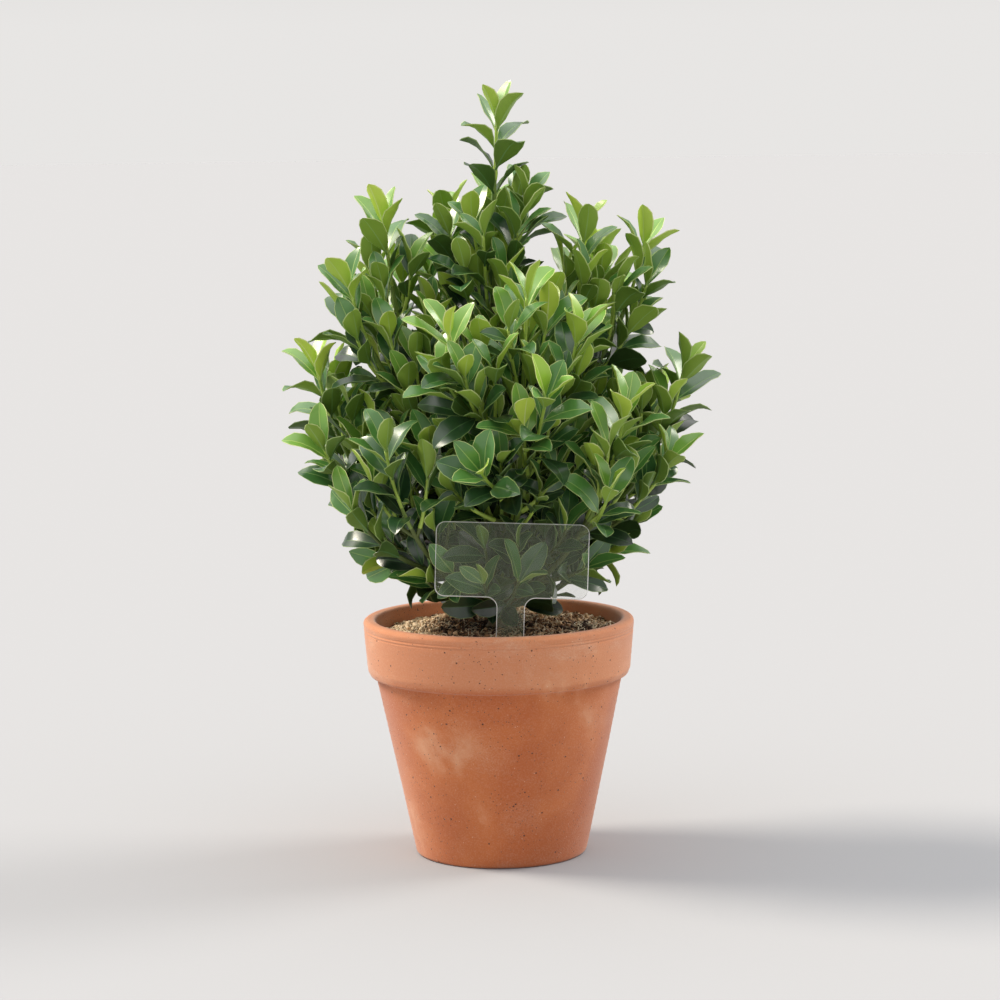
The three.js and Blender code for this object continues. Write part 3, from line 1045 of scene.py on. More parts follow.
    def rootlet(self, x: float, y: float) -> Shape:
        """One dry rootlet: a thin three-sided tube on a bent path just above the bed.

        Args:
            x: its place across.
            y: its place from front to back.

        Returns:
            The closed tube.
        """
        random = self.random
        heading = random.uniform(0, TURN)
        bend = random.normal(0, self.rootlet_bend)
        length = random.uniform(*self.rootlet_length)
        share = np.linspace(-0.5, 0.5, self.rootlet_points)
        angle = heading + bend * share
        path = np.stack([x + length * share * np.cos(angle), y + length * share * np.sin(angle)], -1)
        path *= np.minimum(1, (self.pot.mouth_radius - MM) / np.hypot(*path.T))[:, None]
        radius = random.uniform(*self.rootlet_radius)
        lift = random.uniform(*self.rootlet_lift) * (1 + np.cos(TURN * share * random.uniform(0.5, 1.5)))
        centres = np.column_stack([path, self.surface(*path.T) + lift])
        along = unit(np.gradient(centres, axis=0))
        across = unit(np.cross(UP, along))
        radii = np.full((self.rootlet_points, 3), radius)
        return tube(centres, across, np.cross(across, along), radii, Crumb.STRAW)

    def build(self) -> list[bpy.types.Object]:
        """Makes the bed in place of its node, with the crumbs and rootlets on it.

        Returns:
            The finished pieces.
        """
        loose = [finish.material() for finish in self.finishes]
        bed = piece("compost_bed", self.bed(), [self.finish.material()], ["compost"])
        crumbs = piece("compost_crumbs", self.loose(*icosahedron(), *self.crumbs), loose)
        grains = piece("compost_grains", self.loose(*octahedron(), *self.grains), loose)
        spots = np.column_stack(self.places(self.rootlets, self.rootlet_margin))
        strands = joined(self.rootlet(*spot) for spot in spots)
        return [bed, crumbs, grains, piece("compost_rootlets", strands, loose)]


def octahedron() -> tuple[Array, Array]:
    """Corners and outward triangles of a regular solid of eight faces, one unit from its middle.

    Returns:
        The corners, and the triangles as corner numbers.
    """
    corners = np.concatenate([np.eye(3), -np.eye(3)])
    faces = [(0, 1, 2), (1, 3, 2), (3, 4, 2), (4, 0, 2), (1, 0, 5), (3, 1, 5), (4, 3, 5), (0, 4, 5)]
    return corners, np.array(faces)


def icosahedron() -> tuple[Array, Array]:
    """Corners and outward triangles of a regular solid of twenty faces, one unit from its middle.

    Its corners are (0, +-1, +-g) in the three turns of the axes, with g the golden ratio, and three corners
    make a face where each is next to the other two.

    Returns:
        The corners, and the triangles as corner numbers.
    """
    golden = (1 + math.sqrt(5)) / 2
    base = np.array([[0, a, b * golden] for a in (-1, 1) for b in (-1, 1)])
    corners = np.concatenate([np.roll(base, shift, axis=1) for shift in range(3)])
    near = np.linalg.norm(corners[:, None] - corners[None], axis=-1) < 2.1
    a, b, c = np.meshgrid(*[np.arange(12)] * 3, indexing="ij")
    found = (a < b) & (b < c) & near[a, b] & near[b, c] & near[a, c]
    faces = np.stack([a[found], b[found], c[found]], -1)
    sides = np.cross(corners[faces[:, 1]] - corners[faces[:, 0]], corners[faces[:, 2]] - corners[faces[:, 0]])
    inward = np.einsum("ij,ij->i", sides, corners[faces[:, 0]]) < 0
    faces[inward] = faces[inward][:, ::-1]
    return unit(corners), faces


def turns(quaternions: Array) -> Array:
    """Rotation matrices of unit quaternions.

    Args:
        quaternions: w, x, y and z, one quaternion a row.

    Returns:
        A matrix for each.
    """
    w, x, y, z = quaternions.T
    rows = [
        [1 - 2 * (y * y + z * z), 2 * (x * y - w * z), 2 * (x * z + w * y)],
        [2 * (x * y + w * z), 1 - 2 * (x * x + z * z), 2 * (y * z - w * x)],
        [2 * (x * z - w * y), 2 * (y * z + w * x), 1 - 2 * (x * x + y * y)],
    ]
    return np.array(rows).transpose(2, 0, 1)


@dataclass
class Label:
    """T-shaped clear plant label with a bare face, its stem pushed into the compost behind the front lip."""

    width: float = 71 * MM
    height: float = 35 * MM
    corner: float = 4.5 * MM
    stem_width: float = 13 * MM
    fillet: float = 5 * MM
    tip_rounding: float = 3 * MM
    thickness: float = 1.4 * MM
    edge_bevel: float = 0.3 * MM
    panel_foot: float = 130.2 * MM
    buried: float = 27 * MM
    stem_room: float = 3 * MM
    ground: float = 109 * MM
    x: float = 4 * MM
    y: float = -48 * MM
    lean: float = 2.2
    face: ClearPlastic = ClearPlastic("clear_plastic", "a0aa8e", 0.1, 0.1)
    edge: ClearPlastic = ClearPlastic("clear_plastic_edge", "ffffff", 0.3, 0.75)

    def outline(self) -> Array:
        """The label's outline, upright, from the middle of its tip round to the start.

        Returns:
            Places across and heights over the tip, one point a row.
        """
        half, stem = self.width / 2, self.stem_width / 2
        foot = self.buried + self.panel_foot - self.ground
        top = foot + self.height
        right = [(0, 0, 0), (stem, 0, self.tip_rounding), (stem, foot, self.fillet)]
        right += [(half, foot, self.corner), (half, top, self.corner), (0, top, 0)]
        line = rounded(right, steps=8)
        mirrored = line[-2:0:-1] * [-1, 1]
        return np.concatenate([line, mirrored])

    def boxes(self) -> list[tuple[Array, Array]]:
        """Boxes round its stem above the ground and round its panel.

        Returns:
            The lowest and the highest corner of each.
        """
        low, high = (np.array(corner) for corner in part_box("label"))
        foot = np.array([self.x - self.stem_width / 2, low[1], self.ground])
        top = np.array([self.x + self.stem_width / 2 + self.stem_room, high[1], self.panel_foot])
        return [(foot, top), (np.array([*low[:2], self.panel_foot - MM]), high)]

    def build(self) -> bpy.types.Object:
        """Makes the label in place of its node: the outline four times through its thickness, with bevels.

        A corner is the outline moved in by the bevel on the two faces, and the outline itself between them.

        Returns:
            The finished piece.
        """
        line = self.outline()
        tangent = np.roll(line, -1, 0) - np.roll(line, 1, 0)
        inward = unit(np.column_stack([-tangent[:, 1], tangent[:, 0]]))
        half, bevel = self.thickness / 2, self.edge_bevel
        layers = [(-half, bevel), (-half + bevel, 0), (half - bevel, 0), (half, bevel)]
        count = len(line)
        rings = [np.column_stack([line + inset * inward, np.full(count, depth)]) for depth, inset in layers]
        x, z, depth = np.concatenate(rings).T
        lean = math.radians(self.lean)
        across = self.x + x * math.cos(lean) + z * math.sin(lean)
        height = self.ground - self.buried + z * math.cos(lean) - x * math.sin(lean)
        shape = Shape(np.column_stack([across, self.y - depth, height]))
        shape.add(grid_faces(4, count, closed=True), 1)
        shape.add([np.arange(count)[::-1]], 0)
        shape.add([3 * count + np.arange(count)], 0)
        finishes = [self.face.material(), self.edge.material()]
        return piece("clear_label", shape, finishes, ["label"], crease=30)


@dataclass(frozen=True)
class MassPlan:
    """One mass of foliage, as in the source.

    Its bough forks from the main stem at the height `fork`. Its foliage begins at the share `start` of that
    limb. A shoot is (azimuth, reach, tip height), and each after the first leaves the bough's limb at the
    share given last. A steep bough rises sooner.
    """

    fork: float
    start: float
    shoots: tuple[tuple[float, ...], ...]
    steep: bool = False


MASSES: dict[str, MassPlan] = {
    "leader": MassPlan(109.3, 0.24, ((0, 2, 351),)),
    "upper_left": MassPlan(150, 0.3, ((188, 52, 302), (203, 73, 273, 0.45), (150, 52, 277, 0.5))),
    "upper_back": MassPlan(155, 0.3, ((128, 35, 303), (84, 48, 290, 0.45), (98, 65, 271, 0.4))),
    "upper_right": MassPlan(153, 0.3, ((350, 43, 297), (3, 71, 290, 0.45), (38, 60, 282, 0.42))),
    "upper_front": MassPlan(147, 0.3, ((287, 50, 269), (252, 68, 253, 0.42), (308, 62, 252, 0.42))),
    "left": MassPlan(127, 0.2, ((187, 85, 235), (203, 87, 199, 0.36), (194, 52, 143, 0.22))),
    "back_left": MassPlan(118, 0.2, ((158, 85, 223), (132, 84, 243, 0.42), (146, 54, 145, 0.22))),
    "back": MassPlan(128, 0.2, ((100, 87, 240), (80, 88, 218, 0.4), (92, 55, 147, 0.22))),
    "back_right": MassPlan(119, 0.2, ((54, 85, 246), (31, 88, 211, 0.4), (44, 54, 144, 0.22))),
    "right": MassPlan(129, 0.2, ((357, 89, 231), (337, 86, 191, 0.36), (349, 53, 146, 0.22))),
    "front_right": MassPlan(119, 0.2, ((316, 82, 218), (307, 84, 180, 0.5), (324, 50, 141, 0.22))),
    "front": MassPlan(
        130,
        0.2,
        ((287, 78, 225), (265, 80, 192, 0.5), (300, 54, 190, 0.42), (248, 52, 180, 0.35)),
        steep=True,
    ),
    "front_left": MassPlan(118, 0.2, ((232, 82, 201), (217, 84, 173, 0.36), (226, 48, 139, 0.22))),
}


@dataclass
class Limb:
    """One limb: a quadratic curve from its foot by a bend to its tip, walked by length."""

    mass: str
    azimuth: float
    foot: Array
    bend: Array
    tip: Array
    first: bool
    start: float
    index: int

    def __post_init__(self) -> None:
        """Measures the curve, so that a share of the length finds its place on it."""
        self.steps = np.linspace(0, 1, 65)
        walked = np.linalg.norm(np.diff(self.curve(self.steps), axis=0), axis=1)
        self.walked = np.append(0, np.cumsum(walked))
        self.length = float(self.walked[-1])

    def curve(self, steps: Array) -> Array:
        """Places by the curve's own parameter: (1 - t)^2 foot + 2 t (1 - t) bend + t^2 tip."""
        t = np.asarray(steps)[:, None]
        return (1 - t) ** 2 * self.foot + 2 * t * (1 - t) * self.bend + t**2 * self.tip

    def parameter(self, shares: Array) -> Array:
        """The curve's own parameter at shares of its length."""
        return np.interp(np.asarray(shares) * self.length, self.walked, self.steps)

    def at(self, shares: Array) -> Array:
        """Places at shares of the length."""
        return self.curve(self.parameter(shares))

    def axes(self, shares: Array) -> tuple[Array, Array, Array]:
        """Axes along the limb, which never spin about one that stands upright.

        Args:
            shares: shares of the length.

        Returns:
            The ways along it, sideways by the limb's own azimuth, and outwards.
        """
        t = self.parameter(shares)[:, None]
        along = unit((1 - t) * (self.bend - self.foot) + t * (self.tip - self.bend))
        level = np.array([-math.sin(math.radians(self.azimuth)), math.cos(math.radians(self.azimuth)), 0])
        sideways = unit(level - along * (along @ level)[:, None])
        return along, sideways, np.cross(sideways, along)


def polar(azimuth: float, reach: float, height: float) -> Array:
    """A place by azimuth, distance from the axis and height, all given in millimetres."""
    angle = math.radians(azimuth)
    return np.array([reach * math.cos(angle), reach * math.sin(angle), height]) * MM


class LeafTint(IntEnum):
    """Age of a leaf, darkened by painted shade low in the crown and on side twigs, which sets its colours."""

    YOUNG = 0
    BRIGHT = 1
    FRESH = 2
    FULL = 3
    DARK = 4
    DEEP = 5


class LeafPart(IntEnum):
    """Parts of a leaf that have a finish of their own."""

    TOP = 0
    MIDRIB = 1
    MARGIN = 2
    UNDERSIDE = 3


@dataclass(frozen=True)
class LeafFinish:
    """The colours of one age of leaf, from its glossy top to its pale margin."""

    top: str
    midrib: str
    margin: str
    underside: str
    roughness: float
    coat: float

    def materials(self, tint: LeafTint) -> list[bpy.types.Material]:
        """Makes the materials of a leaf.

        Args:
            tint: its age.

        Returns:
            Four materials, in the order of LeafPart.
        """
        age = tint.name.lower()
        parts = (
            Even(f"leaf_top_{age}", self.top, self.roughness, coat=self.coat, coat_roughness=0.26),
            Even(f"leaf_midrib_{age}", self.midrib, self.roughness + 0.1),
            Even(f"leaf_margin_{age}", self.margin, self.roughness + 0.1),
            Even(f"leaf_underside_{age}", self.underside, roughness=0.5, specular=0.4),
        )
        return [part.material() for part in parts]


# Undersides, and tops of young and bright leaves, are lighter and yellower: partly the leaf's own paler
# green, partly painted light shining through the blade. DARK and DEEP are mostly reached through painted
# shade.
LEAF_FINISHES: dict[LeafTint, LeafFinish] = {
    LeafTint.YOUNG: LeafFinish("9cc23e", "cfe086", "e0ea9c", "c0d852", 0.34, 0.5),
    LeafTint.BRIGHT: LeafFinish("74a33f", "b0cb6c", "d6e096", "a9c648", 0.33, 0.65),
    LeafTint.FRESH: LeafFinish("50823c", "90b060", "c0d086", "88a63f", 0.32, 0.8),
    LeafTint.FULL: LeafFinish("325f2d", "6c9052", "a2ba70", "627f2f", 0.3, 0.9),
    LeafTint.DARK: LeafFinish("224525", "4c7042", "7f985a", "456227", 0.3, 0.95),
    LeafTint.DEEP: LeafFinish("152c18", "345230", "5e7646", "30481f", 0.29, 0.95),
}


@dataclass
class LeafPoses:
    """Where leaves are and how each is bent: one row a leaf.

    root is the foot of the leaf's stalk, direction runs along its length and upper is its face. fold is the
    rise of each half to its width, curl the angle in radians that the tip bends back by, and twist the
    angle that the blade turns about its midrib. bow is how far the tip swings sideways, in lengths, and
    wavy sets where the blade's edge waves.
    """

    root: Array
    direction: Array
    upper: Array
    length: Array
    width: Array
    fold: Array
    curl: Array
    twist: Array
    bow: Array
    wavy: Array

    @staticmethod
    def gathered(poses: Sequence["LeafPoses"]) -> "LeafPoses":
        """Several as one."""
        names = LeafPoses.__dataclass_fields__
        return LeafPoses(**{name: np.concatenate([getattr(pose, name) for pose in poses]) for name in names})

    def only(self, row: int) -> "LeafPoses":
        """One of them."""
        return LeafPoses(*(getattr(self, name)[row : row + 1] for name in LeafPoses.__dataclass_fields__))


@dataclass(frozen=True)
class LeafForm:
    """The blade that every leaf has: narrow at its stalk, widest past the middle and bluntly pointed."""

    rows: tuple[float, ...] = (0, 0.1, 0.25, 0.43, 0.62, 0.8, 0.93)
    stalk: float = 0.07
    stalk_half: float = 0.6 * MM
    fullness_low: float = 0.92
    fullness_high: float = 0.76
    midrib_foot: float = 0.38 * MM
    midrib_tip: float = 0.1 * MM
    margin: float = 0.26 * MM
    thickness: float = 0.35 * MM
    keel: float = 0.35 * MM
    flatten: float = 0.42
    bend_late: float = 1.9
    spine_steps: int = 25
    wave: float = 0.16
    waves: float = 1.4
    wave_offset: float = 1.3

    def half_width(self, share: Array, width: Array) -> Array:
        """Half the blade's width: s^a (1 - s)^b over its greatest value, never less than the stalk's.

        Args:
            share: places along the leaf from 0 to 1.
            width: the width of each leaf.

        Returns:
            One row a leaf, one column a place.
        """
        s = np.clip((share - self.stalk) / (1 - self.stalk), 0, 1)
        low, high = self.fullness_low, self.fullness_high
        widest = low / (low + high)
        most = widest**low * (1 - widest) ** high
        blade = width[:, None] / 2 * (s**low * (1 - s) ** high / most)
        stalk = self.stalk_half * (1 - smooth_step(share, 0.8, 1))
        return np.maximum(blade, stalk)

    def spine(self, share: Array, pose: LeafPoses) -> tuple[Array, Array, Array]:
        """The midrib: its slope is -curl * s^b, and its places are the sums of the slope's cosine and sine.

        Args:
            share: places along the leaf from 0 to 1.
            pose: the leaves.

        Returns:
            How far forward and up each place is, and the slope, one row a leaf.
        """
        fine = np.linspace(0, 1, self.spine_steps)
        slope = -pose.curl[:, None] * fine**self.bend_late
        step = pose.length[:, None] / (len(fine) - 1)
        middle = (slope[:, 1:] + slope[:, :-1]) / 2
        forward = np.pad(np.cumsum(step * np.cos(middle), 1), ((0, 0), (1, 0)))
        raised = np.pad(np.cumsum(step * np.sin(middle), 1), ((0, 0), (1, 0)))
        at = share * (len(fine) - 1)
        low = np.minimum(at.astype(int), len(fine) - 2)
        part = at - low

        def read(values: Array) -> Array:
            """Values at the shares, between the fine steps."""
            return values[:, low] * (1 - part) + values[:, low + 1] * part

        return read(forward), read(raised), read(slope)

    def place(self, share: Array, side: Array, drop: Array, pose: LeafPoses) -> Array:
        """Places on the leaves.

        Each half rises by fold * (1 - flatten * |side| / half) * |side| from the midrib, so it levels off
        towards the margin, plus |side| times a wave along the leaf. The whole section turns by twist * share
        about the midrib, and the midrib swings sideways by bow * length * share^2.

        Args:
            share: places along the leaf, one for each row of corners.
            side: distance from the midrib: leaf, row, column.
            drop: depth under the top: leaf, row, column.
            pose: the leaves.

        Returns:
            Places by leaf, row and column.
        """
        forward, raised, slope = self.spine(share, pose)
        half = np.maximum(self.half_width(share, pose.width), self.stalk_half / 4)[..., None]
        lift = pose.fold[:, None, None] * (1 - self.flatten * np.abs(side) / half)
        phase = self.waves * TURN * share + pose.wavy[:, None]
        lift = lift + self.wave * np.sin(phase[..., None] + self.wave_offset * np.sign(side))
        rise = lift * np.abs(side) - drop
        turn = (pose.twist[:, None] * share)[..., None]
        across = side * np.cos(turn) - rise * np.sin(turn)
        above = side * np.sin(turn) + rise * np.cos(turn)
        ahead = forward[..., None] - above * np.sin(slope)[..., None]
        over = raised[..., None] + above * np.cos(slope)[..., None]
        across = across + ((pose.bow * pose.length)[:, None] * share**2)[..., None]
        sideways = np.cross(pose.upper, pose.direction)
        return (
            pose.root[:, None, None]
            + ahead[..., None] * pose.direction[:, None, None]
            + across[..., None] * sideways[:, None, None]
            + over[..., None] * pose.upper[:, None, None]
        )

    def rough(self, poses: LeafPoses) -> Array:
        """Leaves of a few faces without their stalks, to test what they touch.

        Args:
            poses: the leaves.

        Returns:
            Their corners, one row a leaf.
        """
        share, count = np.array([*self.rows[1:], 1.0]), len(poses.length)
        side = self.half_width(share, poses.width)[..., None] * np.array([-1, 0, 1])
        return self.place(share, side, np.zeros_like(side), poses).reshape(count, -1, 3)[:, :-2]

    def rough_faces(self) -> list[tuple[int, ...]]:
        """The faces of a rough leaf.

        Returns:
            Their corner numbers, those of the two at its tip last.
        """
        rows = len(self.rows) - 1
        last = 3 * rows
        ends = [(last - 3, last - 2, last), (last - 2, last - 1, last)]
        return [*(tuple(face) for face in grid_faces(rows, 3).tolist()), *ends]

    def shape(self, pose: LeafPoses, tints: Array) -> Shape:
        """All the leaves as closed blades: rings of six corners on top and four underneath, and a tip.

        Faces underneath start one corner later, so that they fold along the same diagonal as those on top.

        Args:
            pose: the leaves.
            tints: the LeafTint of each.

        Returns:
            The joined shape, with finishes numbered by tint and part.
        """
        share, count = np.array(self.rows), len(tints)
        half = self.half_width(share, pose.width)
        rib = np.minimum(blend(self.midrib_foot, self.midrib_tip, share), half * 0.5)
        rim = np.maximum(half - self.margin, half * 0.8)
        side = np.stack([-half, -rim, -rib, rib, rim, half, rim, rib, -rib, -rim], -1)
        blade = np.full_like(half, self.thickness)
        ridge = blade + self.keel * (1 - share)
        flat = np.zeros((*half.shape, 6))
        drop = np.concatenate([flat, np.stack([blade, ridge, ridge, blade], -1)], -1)
        rings = self.place(share, side, drop, pose)
        tip = self.place(np.array([1.0]), np.zeros((count, 1, 1)), np.zeros((count, 1, 1)), pose)
        corners = np.concatenate([rings.reshape(count, -1, 3), tip.reshape(count, 1, 3)], 1)
        rows, columns = rings.shape[1:3]
        above = [LeafPart.MARGIN, LeafPart.TOP, LeafPart.MIDRIB, LeafPart.TOP, LeafPart.MARGIN]
        strips = above + [LeafPart.UNDERSIDE if part is LeafPart.TOP else part for part in above]
        quads = grid_faces(rows, columns, closed=True)[:, ::-1].reshape(rows - 1, columns, 4)
        quads[:, len(above) :] = np.roll(quads[:, len(above) :], 1, axis=-1)
        here, last = np.arange(columns), (rows - 1) * columns
        ends = np.stack([last + (here + 1) % columns, last + here, np.full(columns, rows * columns)], -1)
        whole = Shape(corners.reshape(-1, 3))
        offsets = corners.shape[1] * np.arange(count)
        for faces, parts in (
            (quads.reshape(-1, 4), strips * (rows - 1)),
            (ends, strips),
            (here[None], [LeafPart.MIDRIB]),
        ):
            placed = faces[None] + offsets[:, None, None]
            finish = len(LeafPart) * tints[:, None] + np.asarray(parts, int)[None]
            whole.add(placed.reshape(-1, faces.shape[1]), finish.ravel())
        return whole


@dataclass(frozen=True)
class Ageing:
    """A measure that changes from a shoot's tip down: grown - (grown - young) * exp(-node / pace)."""

    young: float
    grown: float
    pace: float

    def at(self, node: int) -> float:
        """The measure at a node, counted from the tip."""
        return self.grown - (self.grown - self.young) * math.exp(-node / self.pace)


@dataclass(frozen=True)
class Growth:
    """The rule that shoots, twigs and leaves grow by: the source's, with nearer nodes and side twigs."""

    stem_foot: float = 6.2 * MM
    stem_radius: float = 4.1 * MM
    flare_height: float = 3.5 * MM
    stem_taper: float = 0.42
    sway: float = 4 * MM
    bough_radius: float = 2 * MM
    bough_taper: float = 0.7
    bough_spread: tuple[float, float] = (0.82, 0.3)
    steep_spread: tuple[float, float] = (0.55, 0.45)
    twig_spread: tuple[float, float] = (0.7, 0.3)
    twig_radius: float = 1.35 * MM
    side_twig_radius: float = 0.95 * MM
    last_radius: float = 0.62 * MM
    first_node: float = 1.0 * MM
    bare_foot: float = 3 * MM
    internode: Ageing = Ageing(5.2 * MM, 12.5 * MM, 1.8)
    length: Ageing = Ageing(21.5 * MM, 28.5 * MM, 1.4)
    angle: Ageing = Ageing(24, 55, 3.0)
    fold: Ageing = Ageing(0.7, 0.45, 1.6)
    curl: Ageing = Ageing(20, 56, 2.0)
    leaf_slimness: float = 0.42
    shoot_turn: float = 20
    angle_scatter: float = 8
    length_scatter: float = 0.1
    width_scatter: float = 0.1
    turn_scatter: float = 14
    roll_scatter: float = 7
    fold_scatter: float = 0.35
    curl_scatter: float = 0.6
    twist_scatter: float = 14
    bow_scatter: float = 0.09
    wave_scatter: float = 3
    turn_up: float = 0.45
    turn_out: float = 0.8
    turned_after: int = 3
    free_spire: float = 46 * MM
    free_leader: float = 84 * MM
    spire_beyond: float = 14 * MM
    side_twig_length: float = 30 * MM
    side_twig_gain: float = 0.34
    longest_side_twig: float = 66 * MM
    shortest_side_twig: float = 12 * MM
    side_twig_angle: float = 38
    low_twig_angle: float = 66
    side_twig_rise: float = 0.9
    side_twig_turns: tuple[float, ...] = (0, 24, -24, 48, -48)
    side_twig_sizes: tuple[float, ...] = (1, 0.75, 0.55, 0.4)
    side_twig_scatter: float = 0.2
    side_twig_joint: float = 0.22
    level_below: float = 120 * MM
    rising_above: float = 178 * MM
    tip_spacing: float = 12 * MM
    inside_crown: float = 12 * MM
    inside_low_crown: float = 0.4 * 12 * MM
    limb_room: float = 0.2 * MM
    side_twig_room: float = 0.15 * MM
    lowest_twig: float = 5 * MM
    fewest_leaves: int = 4
    ages: tuple[float, ...] = (0.6, 1.4, 2.3, 3.2, 3.9, 4.4)
    shoot_shade: float = 0.6
    leaf_shade: float = 0.7
    # Painted shade: leaves low in the crown and on side twigs are dealt older, darker tints.
    low_painted_shade: float = 1.2
    painted_shade_heights: tuple[float, float] = (150 * MM, 230 * MM)
    inner_painted_shade: float = 0.8


@dataclass(frozen=True)
class Wood:
    """The surface of twigs and bark."""

    node_swelling: float = 0.16 * MM
    node_length: float = 1.6 * MM
    cornered: float = 0.06
    twig_sides: int = 8
    twig_step: float = 2.4 * MM
    twig_ages: tuple[float, float] = (28 * MM, 85 * MM)
    shaded_below: float = 165 * MM
    stem_sides: int = 28
    bough_sides: int = 18
    bark_step: float = 0.9 * MM
    bark_overlap: float = 1.2 * MM
    ridges: int = 5
    ridge_height: float = 0.045
    ridge_drift: float = 2.5
    grain: float = 1.5 * MM
    grain_height: float = 0.05
    grain_stretch: float = 0.35
    fork_swelling: float = 0.45
    fork_length: float = 5 * MM


@dataclass
class Crown:
    """The outline that the foliage keeps within: a radius for each height, from the photo's sides."""

    heights: tuple[float, ...] = (111, 118, 130, 146, 160, 182, 206, 248, 290, 308, 322, 345, 376)
    radii: tuple[float, ...] = (22, 35, 50, 64, 73, 83, 92, 101, 95, 84, 64, 40, 30)
    lowest: float = 111.6 * MM
    raggedness: float = 9 * MM
    ragged_size: float = 24 * MM
    kept_clear: tuple[Array, Array] = (np.zeros(3), np.zeros(3))

    def holds(self, places: Array, spare: float = 0) -> Array:
        """Whether all the places lie inside, over the compost and out of what is kept clear.

        The outline goes in and out by slow noise, so that it is ragged.

        Args:
            places: places, in rows of places that belong together or in one such row.
            spare: how far they have to stay inside the outline.

        Returns:
            An answer for each row.
        """
        radius = np.hypot(places[..., 0], places[..., 1])
        reach = np.interp(places[..., 2] / MM, self.heights, self.radii) * MM
        ragged = value_noise(places.reshape(-1, 3), self.ragged_size).reshape(radius.shape)
        outside = (radius > reach + self.raggedness * ragged - spare) | (places[..., 2] < self.lowest)
        low, high = self.kept_clear
        return ~(outside | ((places > low) & (places < high)).all(axis=-1)).any(axis=-1)


def ball(corners: Array) -> tuple[Array, float]:
    """The middle of a box round some corners, and how far the farthest of them is from it."""
    centre = (corners.min(0) + corners.max(0)) / 2
    return centre, float(np.linalg.norm(corners - centre, axis=1).max())


@dataclass
class Obstacles:
    """What is in a leaf's way, as search trees with the ball that each fits in."""

    room: int = 8000
    trees: list[BVHTree] = field(default_factory=list)
    owners: list[int] = field(default_factory=list)

    def __post_init__(self) -> None:
        """Makes room for the balls."""
        self.centres = np.zeros((self.room, 3))
        self.reaches = np.zeros(self.room)

    def add(self, corners: Array, faces: Sequence[Sequence[int]], owner: int) -> None:
        """Adds a surface.

        Args:
            corners: its corners.
            faces: its faces as corner numbers.
            owner: the number of the limb that it is, or -1 for anything else.
        """
        last = len(self.trees)
        self.centres[last], self.reaches[last] = ball(corners)
        self.trees.append(BVHTree.FromPolygons(corners.tolist(), faces))
        self.owners.append(owner)

    def meets(self, corners: Array, faces: Sequence[Sequence[int]], but: int) -> bool:
        """Whether a surface crosses anything here.

        Args:
            corners: its corners.
            faces: its faces as corner numbers.
            but: the owner to leave out.

        Returns:
            True if it crosses a surface of another owner.
        """
        centre, reach = ball(corners)
        apart = np.linalg.norm(self.centres[: len(self.trees)] - centre, axis=1)
        near = np.flatnonzero(apart < self.reaches[: len(self.trees)] + reach)
        trees = [self.trees[i] for i in near if self.owners[i] != but]
        tree = BVHTree.FromPolygons(corners.tolist(), faces) if trees else None
        return any(tree.overlap(other) for other in trees)


# Ways to fit a leaf: degrees lifted, rolled about itself and turned round its shoot, and its size.
ATTEMPTS = np.array(
    [
        (0, 0, 0, 1),
        (11, 0, 0, 1),
        (0, 0, 20, 1),
        (0, 0, -20, 1),
        (-11, 14, 0, 0.96),
        (14, -20, 14, 0.93),
        (22, 15, -20, 0.9),
        (-10, -25, -32, 0.86),
        (27, 0, 32, 0.82),
        (18, 32, -38, 0.76),
        (-18, -38, 30, 0.72),
        (30, -30, -24, 0.68),
        (8, 48, 42, 0.62),
    ]
)


# A side twig's number lies over all the limbs' own, with room for each limb's buds and each twig before it.
FIRST_NUMBER = 1000
LIMB_NUMBERS = 60
TWIG_NUMBERS = 5000


@dataclass(frozen=True)
class Bud:
    """Where a leaf or side twig grows: a side, 0 or 1, of a node at some distance back from a shoot's tip."""

    limb: Limb
    node: int
    side: int
    back: float

    def vary(self, use: int) -> float:
        """The bud's own number for one use, from -1 to 1."""
        return float(scatter(self.limb.index, 2 * self.node + self.side, use))


@dataclass
class Leaf:
    """One leaf that found room."""

    shoot: int
    mass: str
    tint: LeafTint
    pose: LeafPoses


class Twig(IntEnum):
    """Finishes along a twig, from its green tip to its older foot; OLIVE is also painted shade low in the
    crown.
    """

    TIP = 0
    GREEN = 1
    OLIVE = 2


